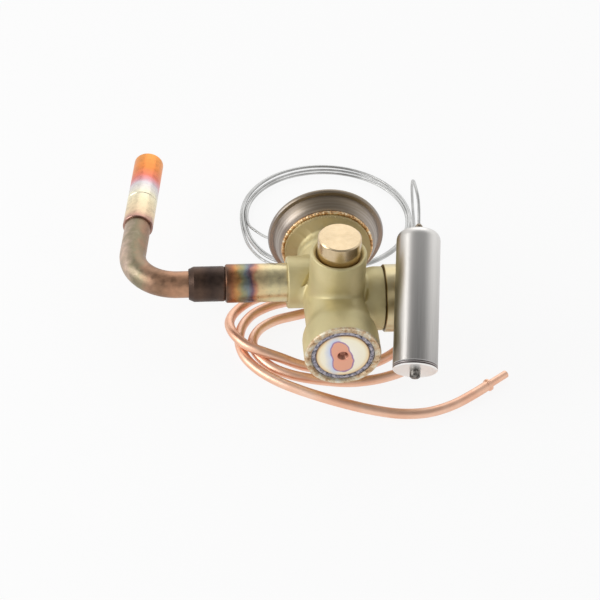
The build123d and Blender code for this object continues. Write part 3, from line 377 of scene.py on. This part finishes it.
def blasted_brass():
    """Blasted brass, more golden on the flange at the back and heat-coloured on the front rim."""
    material, nodes, links, shader = metal("forged_brass", (0.55, 0.48, 0.26), 0.52)
    shader.inputs["Metallic"].default_value = 0.55
    point = surface_point(nodes)
    depth = part_along(nodes, links, point, "Y")
    cloud = noise_at(nodes, links, point, 60, 4)
    olive = ramp_of(nodes, links, cloud, [
        (0.30, (0.56, 0.49, 0.26)), (0.55, (0.66, 0.57, 0.31)), (0.75, (0.74, 0.65, 0.38))])
    at_flange = spread(nodes, links, depth, flange_y - 0.0015, flange_y)
    olive = blend_colours(nodes, links, at_flange, olive, (0.50, 0.40, 0.20))
    rim = ramp_of(nodes, links, noise_at(nodes, links, point, 380, 5, 0.65), [
        (0.34, (0.34, 0.19, 0.09)), (0.44, (0.66, 0.46, 0.27)), (0.56, (0.80, 0.72, 0.54)),
        (0.70, (0.90, 0.87, 0.80))])
    at_front = spread(nodes, links, depth, front_y + 0.0009, front_y + 0.0003)
    links.new(blend_colours(nodes, links, at_front, olive, rim), shader.inputs["Base Color"])
    links.new(spread(nodes, links, cloud, 0.3, 0.7, 0.44, 0.54), shader.inputs["Roughness"])
    dent(nodes, links, shader, noise_at(nodes, links, point, 3200, 2), 0.10, 0.0002)
    return material


collar_r = 0.01755
collar_start = front_y + 0.006
collar_end = front_y + 0.011
barrel_r = 0.015
barrel_start = front_y + 0.0215
neck_y = inlet_y + 0.0145
solid_r = 0.017
blend_r = 0.0187


def barrel_radius(y):
    """Radius of the barrel behind the front collar, which slopes down to it in a soft curve."""
    return collar_r + (barrel_r - collar_r) * eased((y - collar_end) / (barrel_start - collar_end))


# The forging is the solid with its barrel waisted in behind the collar. The skin between the
# collar and the neck is cut into rings, and each ring is drawn in to the barrel's curve.
body_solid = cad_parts["valve_body"]
body_mesh = body_solid.data.copy()
body_mesh.name = "forging"
body_mesh.transform(body_solid.matrix_world)
skin = bmesh.new()
skin.from_mesh(body_mesh)
bmesh.ops.remove_doubles(skin, verts=skin.verts, dist=1e-6)
ring_pitch = 0.0015
ring_count = int((neck_y - collar_start) / ring_pitch)
for ring in range(1, ring_count + 1):
    cut_y = collar_start + (neck_y - collar_start) * ring / (ring_count + 1)
    bmesh.ops.bisect_plane(
        skin, geom=skin.verts[:] + skin.edges[:] + skin.faces[:], dist=1e-7,
        plane_co=(0, cut_y, 0), plane_no=(0, 1, 0))

# Each boss has its place along the barrel, its axis and side, its radius and its bore's radius.
# Near it the skin moves along the boss's axis, and its bore stays as it is.
bosses = [
    (inlet_y, "X", -1, 0.0125, 0.0122),
    (inlet_y - 0.0130, "X", 1, 0.0125, 0.0103),
    (inlet_y - 0.0155, "Z", 1, 0.0130, 0.0127),
]
boss_edge = 0.0045
boss_slope = 0.0029

# The skin stays where it is round the equalizer tube's entry, so that its braze sits on it.
entry_low, entry_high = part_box("equalizer_braze")
entry = (Vector(entry_low) + Vector(entry_high)) / 2
entry_pad_r = 0.0055
entry_slope = 0.0050

# Vertices nearer the axis belong to the bores, and at the collar's edge the outer ones belong to
# the collar. Neither move. Those within a hair of the limits along the barrel do.
bore_wall_r = 0.0169
collar_wall_r = 0.0174
hair = 1e-5
for vertex in skin.verts:
    x, y, z = vertex.co.x - valve_x, vertex.co.y, vertex.co.z
    r = math.hypot(x, z)
    if not collar_start - hair < y < neck_y + hair or not bore_wall_r < r < blend_r:
        continue
    if y < collar_start + hair and r > collar_wall_r:
        continue
    rise = max(0, (r - solid_r) / (blend_r - solid_r))
    drawn = barrel_radius(y) + (blend_r - barrel_radius(y)) * rise
    place = Vector((x, z)) * drawn / r
    in_bore = False
    for boss_y, boss_axis, side, boss_r, bore_r in bosses:
        above, aside = (x, z) if boss_axis == "X" else (z, x)
        if above * side < 0:
            continue
        from_axis = math.hypot(y - boss_y, aside)
        in_bore = in_bore or from_axis < bore_r
        near = min(max((boss_r + boss_edge - from_axis) / boss_slope, 0), 1)
        if near and drawn > abs(aside):
            risen = math.copysign(math.sqrt(drawn ** 2 - aside ** 2), above)
            straight = Vector((risen, z)) if boss_axis == "X" else Vector((x, risen))
            place = place.lerp(straight, near)
    if in_bore:
        continue
    if z < 0:
        from_entry = math.hypot(vertex.co.x - entry.x, y - entry.y)
        place = Vector((x, z)).lerp(place, eased((from_entry - entry_pad_r) / entry_slope))
    vertex.co.x = valve_x + place.x
    vertex.co.z = place.y
skin.to_mesh(body_mesh)
skin.free()
body_mesh.shade_smooth()
body_mesh.set_sharp_from_angle(angle=math.radians(28))
forging = bpy.data.objects.new("forging", body_mesh)
bpy.context.collection.objects.link(forging)
forged_brass = blasted_brass()
body_mesh.materials.clear()
body_mesh.materials.append(forged_brass)
even_shade = forging.modifiers.new("even_shade", "WEIGHTED_NORMAL")
even_shade.keep_sharp = True
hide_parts("valve_body")
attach(forging, "valve")

# ---------------------------------------------------------------- closing plug
# Turned brass disc brazed into the front of the body. The torch left its face cream white, with
# a copper-coloured patch round the centre dimple and a blue bloom beside it.
plug_centre = Vector((valve_x, plug_low[1], 0))


def dress(node, material):
    """Gives a carried-over piece its finish."""
    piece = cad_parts[node]
    piece.data.materials.clear()
    piece.data.materials.append(material)


def about_barrel(nodes, links, centre):
    """The surface point's offset from a centre, and its distance from the barrel's axis there."""
    offset = vector_step(nodes, links, "SUBTRACT", surface_point(nodes), centre)
    flat = vector_step(nodes, links, "MULTIPLY", offset, (1, 0, 1))
    return offset, vector_step(nodes, links, "LENGTH", flat)


# The copper patch is two ovals run together: across, up, half width, half height, lean in degrees.
patch_ovals = [
    (-0.0014, 0.0026, 0.0046, 0.0068, -14),
    (0.0004, -0.0040, 0.0052, 0.0068, 0),
]


def torch_face():
    """Cream face with the copper patch, its dark outline and the blue bloom on its left."""
    material, nodes, links, shader = metal("plug_face", (0.90, 0.84, 0.68), 0.42)
    offset, radius = about_barrel(nodes, links, plug_centre)
    point = surface_point(nodes)
    ovals = []
    for across, height, half_width, half_height, lean in patch_ovals:
        oval = nodes.new("ShaderNodeMapping")
        oval.vector_type = "TEXTURE"
        oval.inputs["Location"].default_value = (across, 0, height)
        oval.inputs["Rotation"].default_value = (0, math.radians(lean), 0)
        oval.inputs["Scale"].default_value = (half_width, 1, half_height)
        links.new(offset, oval.inputs["Vector"])
        flat = vector_step(nodes, links, "MULTIPLY", oval.outputs["Vector"], (1, 0, 1))
        ovals.append(vector_step(nodes, links, "LENGTH", flat))
    patch = nodes.new("ShaderNodeMath")
    patch.operation = "SMOOTH_MIN"
    patch.inputs[2].default_value = 0.8
    links.new(ovals[0], patch.inputs[0])
    links.new(ovals[1], patch.inputs[1])
    ragged = times_plus(
        nodes, links, noise_at(nodes, links, point, 240, 3), 0.35, patch.outputs[0])
    cream = ramp_of(nodes, links, spread(nodes, links, radius, 0.004, 0.0123), [
        (0.0, (0.95, 0.91, 0.80)), (0.72, (0.96, 0.90, 0.72)), (0.90, (0.90, 0.74, 0.48)),
        (0.97, (0.60, 0.38, 0.20)), (1.0, (0.30, 0.18, 0.12))])
    on_left = spread(nodes, links, part_along(nodes, links, offset, "X"), -0.0005, -0.0035)
    halo = blend_colours(nodes, links, on_left, cream, (0.58, 0.66, 0.86))
    past_halo = ramp_of(nodes, links, spread(nodes, links, ragged, 1.05, 1.75), [
        (0.0, (0.0, 0.0, 0.0)), (1.0, white)])
    outside = blend_colours(nodes, links, past_halo, halo, cream)
    core = ramp_of(nodes, links, spread(nodes, links, radius, 0.0, 0.004), [
        (0.0, (0.30, 0.13, 0.09)), (0.56, (0.50, 0.24, 0.17)), (0.68, (0.84, 0.40, 0.28)),
        (1.0, (0.84, 0.44, 0.31))])
    at_outline = spread(nodes, links, ragged, 0.98, 1.06)
    inside = blend_colours(nodes, links, at_outline, core, (0.36, 0.22, 0.42))
    past_patch = spread(nodes, links, ragged, 1.08, 1.16)
    links.new(blend_colours(nodes, links, past_patch, inside, outside), shader.inputs["Base Color"])
    dent(nodes, links, shader, noise_at(nodes, links, point, 2200, 2), 0.06, 0.0002)
    return material


def burnt_braze():
    """Rough grey braze, black in its pits."""
    material, nodes, links, shader = metal("burnt_braze", (0.2, 0.2, 0.22), 0.5)
    specks = noise_at(nodes, links, surface_point(nodes), 700, 4, 0.7)
    colour = ramp_of(nodes, links, specks, [
        (0.36, (0.04, 0.04, 0.05)), (0.44, (0.20, 0.20, 0.24)), (0.54, (0.42, 0.40, 0.46)),
        (0.72, (0.70, 0.67, 0.68))])
    links.new(colour, shader.inputs["Base Color"])
    dent(nodes, links, shader, specks, 0.5, 0.0006)
    return material


dress("bottom_plug", torch_face())
dress("plug_braze_ring", burnt_braze())

# ---------------------------------------------------------------- seal cap
# Turned from brass bar and left bright, with the tool's rings on its top. It screws into the top
# boss on a copper gasket.
cap_low, cap_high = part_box("seal_cap")
cap_centre = Vector(((cap_low[0] + cap_high[0]) / 2, (cap_low[1] + cap_high[1]) / 2, 0))
tool_pitch = 0.0005


def turned_brass():
    """Bright brass with rings about the cap's axis."""
    material, nodes, links, shader = metal("turned_brass", (0.80, 0.64, 0.40), 0.2)
    offset = vector_step(nodes, links, "SUBTRACT", surface_point(nodes), cap_centre)
    rings = nodes.new("ShaderNodeTexWave")
    rings.wave_type = "RINGS"
    rings.rings_direction = "Z"
    rings.inputs["Scale"].default_value = 1 / tool_pitch / 3.14
    rings.inputs["Distortion"].default_value = 0.4
    rings.inputs["Detail"].default_value = 2
    links.new(offset, rings.inputs["Vector"])
    cloud = noise_at(nodes, links, offset, 400, 3)
    colour = ramp_of(nodes, links, cloud, [(0.3, (0.66, 0.51, 0.32)), (0.7, (0.72, 0.57, 0.37))])
    links.new(colour, shader.inputs["Base Color"])
    ring_shine = spread(nodes, links, rings.outputs["Fac"], 0, 1, 0.16, 0.30)
    links.new(ring_shine, shader.inputs["Roughness"])
    shader.inputs["Anisotropic"].default_value = 0.7
    tangent = nodes.new("ShaderNodeTangent")
    tangent.direction_type = "RADIAL"
    tangent.axis = "Z"
    links.new(tangent.outputs[0], shader.inputs["Tangent"])
    dent(nodes, links, shader, rings.outputs["Fac"], 0.08, 0.0001)
    return material


def gasket_copper():
    """Plain copper, dull in patches."""
    material, nodes, links, shader = metal("gasket_copper", (0.62, 0.32, 0.20), 0.35)
    patches = noise_at(nodes, links, surface_point(nodes), 800)
    links.new(spread(nodes, links, patches, 0.3, 0.7, 0.28, 0.5), shader.inputs["Roughness"])
    return material


dress("seal_cap", turned_brass())
dress("cap_gasket", gasket_copper())

# ---------------------------------------------------------------- adjuster and stem
# Steel and brass pieces that are hidden inside the body: they show when the cap is lifted, or
# through the open outlet.
def machined_steel(name, colour, roughness):
    """Steel with fine marks that run along Z."""
    material, nodes, links, shader = metal(name, colour, roughness)
    stretch = nodes.new("ShaderNodeMapping")
    stretch.inputs["Scale"].default_value = (1, 1, 9)
    links.new(surface_point(nodes), stretch.inputs["Vector"])
    marks = noise_at(nodes, links, stretch.outputs["Vector"], 700, 2)
    shine = spread(nodes, links, marks, 0.3, 0.7, roughness * 0.7, roughness * 1.4)
    links.new(shine, shader.inputs["Roughness"])
    dent(nodes, links, shader, marks, 0.08, 0.0001)
    return material


def soft_seal(name, colour):
    """Rubber or packing, slightly mottled."""
    material = bpy.data.materials.new(name)
    material.use_nodes = True
    nodes, links = material.node_tree.nodes, material.node_tree.links
    shader = nodes["Principled BSDF"]
    mottle = noise_at(nodes, links, surface_point(nodes), 900)
    darker = tuple(channel * 0.8 for channel in colour)
    mottled = ramp_of(nodes, links, mottle, [(0.3, darker), (0.7, colour)])
    links.new(mottled, shader.inputs["Base Color"])
    shader.inputs["Roughness"].default_value = 0.6
    return material


tool_steel = machined_steel("machined_steel", (0.50, 0.50, 0.50), 0.3)
for node in ("adjusting_spindle", "gear_ring", "spring_seat", "push_rod", "thrust_plate",
             "valve_cone", "orifice_seat"):
    dress(node, tool_steel)
for node in ("spindle_gland", "rod_gland"):
    dress(node, forged_brass)
spring_wire = machined_steel("spring_wire", (0.30, 0.30, 0.32), 0.35)
dress("diaphragm", spring_wire)
dress("spindle_o_ring", soft_seal("seal_rubber", (0.03, 0.03, 0.03)))
dress("rod_packing", soft_seal("white_packing", (0.80, 0.79, 0.75)))

# The spring stands a seat's travel short of its seat.
seat_room = 0.00106
spring_low, spring_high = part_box("superheat_spring")
spring_length = spring_high[1] - spring_low[1]
spring_share = 1 - seat_room / spring_length
spring_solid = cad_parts["superheat_spring"]
spring_mesh = spring_solid.data.copy()
spring_mesh.name = "superheat_coil"
spring_mesh.transform(spring_solid.matrix_world)
for vertex in spring_mesh.vertices:
    vertex.co.y = spring_high[1] + (vertex.co.y - spring_high[1]) * spring_share
spring_mesh.materials.clear()
spring_mesh.materials.append(spring_wire)
spring = bpy.data.objects.new("superheat_coil", spring_mesh)
bpy.context.collection.objects.link(spring)
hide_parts("superheat_spring")
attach(spring, "valve")
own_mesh(spring)

# ---------------------------------------------------------------- power element
# Two pressed stainless dishes with a thin diaphragm between them, welded round the rim and brazed
# to the body's flange.
def pressed_steel(name, dark, middle, light):
    """Steel with the press's fine rings round the barrel's axis, darkened brown towards the top as
    painted shade.
    """
    material, nodes, links, shader = metal(name, middle, 0.4)
    offset, radius = about_barrel(nodes, links, (valve_x, 0, 0))
    waver = spread(
        nodes, links, noise_at(nodes, links, surface_point(nodes), 30, 2), 0.3, 0.7, 0, 0.012)
    one_way = nodes.new("ShaderNodeCombineXYZ")
    links.new(times_plus(nodes, links, radius, 60, waver), one_way.inputs[0])
    rings = noise_at(nodes, links, one_way.outputs[0], 24, 4, 0.7)
    steel = ramp_of(nodes, links, rings, [(0.30, dark), (0.50, middle), (0.70, light)])
    # Painted shade: the top of the element is blended towards dark brown.
    height = part_along(nodes, links, offset, "Z")
    painted_top_shade = spread(nodes, links, height, 0.012, 0.024, 0.0, 0.7)
    colour = blend_colours(nodes, links, painted_top_shade, steel, (0.25, 0.19, 0.12))
    links.new(colour, shader.inputs["Base Color"])
    links.new(spread(nodes, links, rings, 0.3, 0.7, 0.32, 0.46), shader.inputs["Roughness"])
    return material


element_steel = pressed_steel(
    "pressed_steel", dark=(0.24, 0.20, 0.16), middle=(0.40, 0.35, 0.31), light=(0.58, 0.54, 0.49))
rim_steel = pressed_steel(
    "rim_weld_steel", dark=(0.20, 0.18, 0.17), middle=(0.36, 0.33, 0.31), light=(0.66, 0.62, 0.58))
for node in ("element_base", "element_cover", "element_ferrule"):
    dress(node, element_steel)
dress("element_rim_weld", rim_steel)


def gold_bead():
    """Golden braze, burnt brown in its hollows, with painted cream glints on its crests."""
    material, nodes, links, shader = metal("gold_braze", (0.62, 0.40, 0.18), 0.34)
    burn = noise_at(nodes, links, surface_point(nodes), 500, 4)
    # The cream at the top of this ramp is painted glints on the bead's crests.
    colour = ramp_of(nodes, links, burn, [
        (0.34, (0.42, 0.22, 0.10)), (0.48, (0.74, 0.46, 0.22)), (0.60, (0.86, 0.66, 0.40)),
        (0.72, (0.94, 0.86, 0.70))])
    links.new(colour, shader.inputs["Base Color"])
    dent(nodes, links, shader, burn, 0.5, 0.0005)
    return material


# The bead is a ring of ripples, each of its own height, as the filler rod was dipped round it.
bead_low, bead_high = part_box("element_braze_ring")
bead_r = 0.0011
bead_sink = 0.0001
bead_line_r = (bead_high[0] - bead_low[0]) / 2 - bead_r - bead_sink
bead_line_y = (bead_low[1] + bead_high[1]) / 2
ripples = 84
ripple_steps = 6
bead_steps = ripples * ripple_steps
bead_sides = 12
random.seed(7)
heights = [0.82 + 0.18 * random.random() for ripple in range(ripples)]
bead_vertices = []
bead_faces = []
for step in range(bead_steps):
    around = 2 * math.pi * step / bead_steps
    ripple, ripple_step = divmod(step, ripple_steps)
    swell = heights[ripple] * (0.80 + 0.20 * math.sin(math.pi * ripple_step / ripple_steps))
    next_step = (step + 1) % bead_steps
    for side in range(bead_sides):
        tilt = 2 * math.pi * side / bead_sides
        r = bead_line_r + bead_r * swell * math.cos(tilt)
        y = bead_line_y + bead_r * swell * math.sin(tilt)
        bead_vertices.append((valve_x + r * math.cos(around), y, r * math.sin(around)))
        next_side = (side + 1) % bead_sides
        bead_faces.append((
            step * bead_sides + side, next_step * bead_sides + side,
            next_step * bead_sides + next_side, step * bead_sides + next_side))
bead_mesh = bpy.data.meshes.new("braze_bead")
bead_mesh.from_pydata(bead_vertices, [], bead_faces)
bead_mesh.shade_smooth()
bead_mesh.materials.append(gold_bead())
bead = bpy.data.objects.new("braze_bead", bead_mesh)
bpy.context.collection.objects.link(bead)
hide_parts("element_braze_ring")
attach(bead, "valve")

# ---------------------------------------------------------------- inlet line
# Brass stub brazed into the inlet boss, a copper reducer, a bent copper tube and a straight
# coupling. The torch left rainbow tints on the stub, oxide on the reducer and colours on the end.
def heat_tinted(name, distance_of, low, high, stops, mottle, roughness=0.32):
    """Metal whose colour changes along a direction, with a ragged edge between the bands."""
    material, nodes, links, shader = metal(name, (0.8, 0.7, 0.5), roughness)
    point = surface_point(nodes)
    drift = noise_at(nodes, links, point, 170, 3)
    ragged = times_plus(nodes, links, drift, mottle, distance_of(nodes, links))
    bands = ramp_of(nodes, links, spread(nodes, links, ragged, low, high), stops)
    stain = noise_at(nodes, links, point, 420, 4)
    shade = ramp_of(nodes, links, stain, [(0.30, (0.72, 0.72, 0.72)), (0.62, white)])
    stained = blend_colours(nodes, links, 0.8, bands, shade, "MULTIPLY")
    links.new(stained, shader.inputs["Base Color"])
    shine = spread(nodes, links, stain, 0.3, 0.7, roughness * 0.8, roughness * 1.3)
    links.new(shine, shader.inputs["Roughness"])
    dent(nodes, links, shader, noise_at(nodes, links, point, 1500, 3), 0.10, 0.0002)
    return material


def toward_inlet(nodes, links):
    """Distance along X from the valve's axis, in metres, growing towards the inlet."""
    across = part_along(nodes, links, surface_point(nodes), "X")
    return times_plus(nodes, links, across, -1, valve_x)


stub_colours = [
    (0.00, (0.78, 0.68, 0.42)),
    (0.28, (0.80, 0.70, 0.42)),
    (0.44, (0.78, 0.58, 0.32)),
    (0.49, (0.60, 0.28, 0.18)),
    (0.54, (0.20, 0.13, 0.17)),
    (0.60, (0.22, 0.26, 0.28)),
    (0.67, (0.36, 0.34, 0.18)),
    (0.74, (0.58, 0.30, 0.11)),
    (0.80, (0.42, 0.17, 0.08)),
    (0.88, (0.16, 0.09, 0.06)),
    (1.00, (0.12, 0.075, 0.055)),
]
dress("inlet_stub", heat_tinted(
    "tinted_stub", toward_inlet, low=0.0230, high=0.0580, stops=stub_colours, mottle=0.006))
reducer_colours = [
    (0.00, (0.20, 0.10, 0.065)),
    (0.20, (0.11, 0.075, 0.060)),
    (0.45, (0.070, 0.048, 0.040)),
    (0.70, (0.12, 0.075, 0.055)),
    (1.00, (0.08, 0.055, 0.046)),
]
dress("inlet_reducer", heat_tinted(
    "oxidised_copper", toward_inlet, low=0.0515, high=0.0745, stops=reducer_colours, mottle=0.008,
    roughness=0.42))
elbow_colours = [
    (0.00, (0.14, 0.085, 0.060)),
    (0.08, (0.56, 0.32, 0.20)),
    (0.30, (0.52, 0.29, 0.18)),
    (0.50, (0.32, 0.19, 0.12)),
    (0.62, (0.44, 0.27, 0.18)),
    (0.78, (0.30, 0.26, 0.17)),
    (1.00, (0.66, 0.50, 0.40)),
]
dress("inlet_elbow", heat_tinted(
    "brown_copper", toward_inlet, low=0.072, high=0.108, stops=elbow_colours, mottle=0.014,
    roughness=0.40))

coupling_yaw = math.radians(6.5)
coupling_way = Vector((math.sin(coupling_yaw), math.cos(coupling_yaw), 0))
coupling_r = 0.0074
coupling_length = 0.0518
coupling_right, coupling_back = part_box("inlet_end_coupling")[1][:2]
coupling_far = coupling_way.dot(Vector((coupling_right - coupling_r, coupling_back, 0)))
coupling_colours = [
    (0.00, (0.30, 0.18, 0.16)),
    (0.05, (0.62, 0.36, 0.28)),
    (0.12, (0.86, 0.66, 0.44)),
    (0.30, (0.93, 0.80, 0.54)),
    (0.42, (0.96, 0.90, 0.68)),
    (0.46, (0.88, 0.82, 0.72)),
    (0.55, (0.76, 0.70, 0.72)),
    (0.60, (0.76, 0.40, 0.44)),
    (0.67, (0.86, 0.24, 0.16)),
    (0.80, (0.92, 0.30, 0.08)),
    (1.00, (0.94, 0.38, 0.10)),
]


def along_coupling(nodes, links):
    """Distance along the coupling's axis."""
    return vector_step(nodes, links, "DOT_PRODUCT", surface_point(nodes), coupling_way)


dress("inlet_end_coupling", heat_tinted(
    "tinted_coupling", along_coupling, low=coupling_far - coupling_length, high=coupling_far,
    stops=coupling_colours, mottle=0.004))


def mesh_steel():
    """Woven steel wire, as small dents."""
    material, nodes, links, shader = metal("strainer_steel", (0.5, 0.5, 0.48), 0.4)
    dots = nodes.new("ShaderNodeTexVoronoi")
    dots.inputs["Scale"].default_value = 2500
    links.new(surface_point(nodes), dots.inputs["Vector"])
    dent(nodes, links, shader, dots.outputs["Distance"], 0.6, 0.0003)
    return material


dress("inlet_strainer", mesh_steel())

# ---------------------------------------------------------------- outlet socket
# Solder cup turned from brass, brazed to the outlet boss and left bright, with a dark line of
# painted shade where it meets the boss.
socket_x = valve_x + 0.0225


def bright_brass():
    """Bright turned brass, with painted shade at the joint."""
    material, nodes, links, shader = metal("socket_brass", (0.66, 0.56, 0.32), 0.32)
    point = surface_point(nodes)
    cloud = noise_at(nodes, links, point, 120, 3)
    brass = ramp_of(nodes, links, cloud, [(0.3, (0.60, 0.50, 0.28)), (0.7, (0.74, 0.65, 0.42))])
    across = part_along(nodes, links, point, "X")
    # Painted shade: a thin dark band where the socket meets the boss.
    past_painted_joint_shade = spread(nodes, links, across, socket_x + 0.0002, socket_x + 0.0006)
    colour = blend_colours(nodes, links, past_painted_joint_shade, (0.15, 0.09, 0.03), brass)
    links.new(colour, shader.inputs["Base Color"])
    dent(nodes, links, shader, noise_at(nodes, links, point, 2500, 2), 0.06, 0.0002)
    return material


dress("outlet_socket", bright_brass())

# ---------------------------------------------------------------- sensing bulb
# Drawn stainless cup, brushed along its length, with a bright pressed cap welded into the front
# end, a pinched filling nib and the capillary soldered into its shoulder.
bulb_side = Vector((0, 0, 1)).cross(bulb_way).normalized()
bulb_top = bulb_way.cross(bulb_side)
bulb_r = 0.0100
ferrule_mouth = valve_centre + bulb_exit / 1000
back_end = bulb_way.dot(ferrule_mouth)
front_end = back_end - 0.0712
painted_highlight_length = 0.070
end_cap_depth = 0.0024


def along_bulb(nodes, links, way):
    """Distance along one of the bulb's own directions."""
    return vector_step(nodes, links, "DOT_PRODUCT", surface_point(nodes), way)


def bulb_noise(nodes, links, stretch, scale, detail):
    """Noise drawn out along the bulb."""
    join = nodes.new("ShaderNodeCombineXYZ")
    for index, way in enumerate((bulb_side, bulb_top, bulb_way * stretch)):
        links.new(along_bulb(nodes, links, way), join.inputs[index])
    return noise_at(nodes, links, join.outputs[0], scale, detail)


def brushed_steel():
    """Brushed steel, with a painted highlight growing towards the back end and painted reflection
    and shade across it, darkest at its left edge.
    """
    material, nodes, links, shader = metal("brushed_bulb", (0.50, 0.49, 0.48), 0.3)
    strokes = bulb_noise(nodes, links, 0.02, 2600, 3)
    cloud = bulb_noise(nodes, links, 0.2, 120, 2)
    grey = ramp_of(nodes, links, strokes, [(0.3, (0.46, 0.45, 0.44)), (0.7, (0.58, 0.57, 0.56))])
    # Painted highlight: the grey is blended to near white towards the back end.
    along = along_bulb(nodes, links, bulb_way)
    painted_highlight_to_back = spread(nodes, links, along, back_end - painted_highlight_length, back_end)
    grey = blend_colours(nodes, links, painted_highlight_to_back, grey, (0.90, 0.89, 0.87))
    # Painted reflection and shade across the bulb: dark at the left edge, brightest in the middle.
    across = along_bulb(nodes, links, bulb_side)
    middle = bulb_side.dot(ferrule_mouth)
    painted_shade_across = spread(nodes, links, across, middle + bulb_r, middle - bulb_r)
    shade = ramp_of(nodes, links, painted_shade_across, [
        (0.02, (0.52, 0.50, 0.46)), (0.22, (0.78, 0.76, 0.74)), (0.50, (0.96, 0.95, 0.94)),
        (0.72, (0.86, 0.85, 0.84)), (1.00, (0.82, 0.81, 0.80))])
    colour = blend_colours(nodes, links, 1.0, grey, shade, "MULTIPLY")
    links.new(colour, shader.inputs["Base Color"])
    links.new(spread(nodes, links, cloud, 0.3, 0.7, 0.30, 0.36), shader.inputs["Roughness"])
    dent(nodes, links, shader, strokes, 0.03, 0.0001)
    return material


def pale_steel():
    """Bright cap with two dark ring lines where it is welded in."""
    material, nodes, links, shader = metal("pale_steel", (0.92, 0.91, 0.89), 0.35)
    along = along_bulb(nodes, links, bulb_way)
    depth = spread(nodes, links, along, front_end, front_end + end_cap_depth)
    colour = ramp_of(nodes, links, depth, [
        (0.0, (0.97, 0.96, 0.94)), (0.30, (0.94, 0.92, 0.89)), (0.36, (0.13, 0.10, 0.10)),
        (0.58, (0.11, 0.09, 0.09)), (0.64, (0.46, 0.42, 0.41)), (0.74, (0.40, 0.37, 0.36)),
        (0.80, (0.10, 0.08, 0.08)), (0.96, (0.12, 0.10, 0.10)), (1.0, (0.50, 0.49, 0.48))])
    links.new(colour, shader.inputs["Base Color"])
    dent(nodes, links, shader, noise_at(nodes, links, surface_point(nodes), 1800, 2), 0.05, 0.0002)
    return material


def dark_solder():
    """Burnt solder, rough and nearly black."""
    material, nodes, links, shader = metal("dark_solder", (0.16, 0.15, 0.14), 0.4)
    burn = noise_at(nodes, links, surface_point(nodes), 900, 3)
    colour = ramp_of(nodes, links, burn, [(0.35, (0.06, 0.055, 0.05)), (0.7, (0.40, 0.38, 0.35))])
    links.new(colour, shader.inputs["Base Color"])
    dent(nodes, links, shader, burn, 0.4, 0.0003)
    return material


solder = dark_solder()
dress("bulb_shell", brushed_steel())
dress("bulb_end_cap", pale_steel())
dress("bulb_fill_nib", solder)
dress("bulb_ferrule", element_steel)

# ---------------------------------------------------------------- equalizer tube
# Soft copper tube bent by hand into two loops, brazed into the underside of the body. Its free
# end has a rolled bead and a reduced nib.
def soft_copper():
    """Annealed copper, salmon pink with duller stretches."""
    material, nodes, links, shader = metal("soft_copper", (0.84, 0.52, 0.38), 0.40)
    point = surface_point(nodes)
    dull = noise_at(nodes, links, point, 70, 4)
    colour = ramp_of(nodes, links, dull, [
        (0.30, (0.86, 0.48, 0.33)), (0.50, (0.92, 0.58, 0.42)), (0.72, (0.96, 0.68, 0.54))])
    links.new(colour, shader.inputs["Base Color"])
    patches = noise_at(nodes, links, point, 600)
    links.new(spread(nodes, links, patches, 0.3, 0.7, 0.38, 0.48), shader.inputs["Roughness"])
    dent(nodes, links, shader, noise_at(nodes, links, point, 1500, 3), 0.06, 0.0002)
    return material


dress("equalizer_tube", soft_copper())
dress("equalizer_braze", solder)
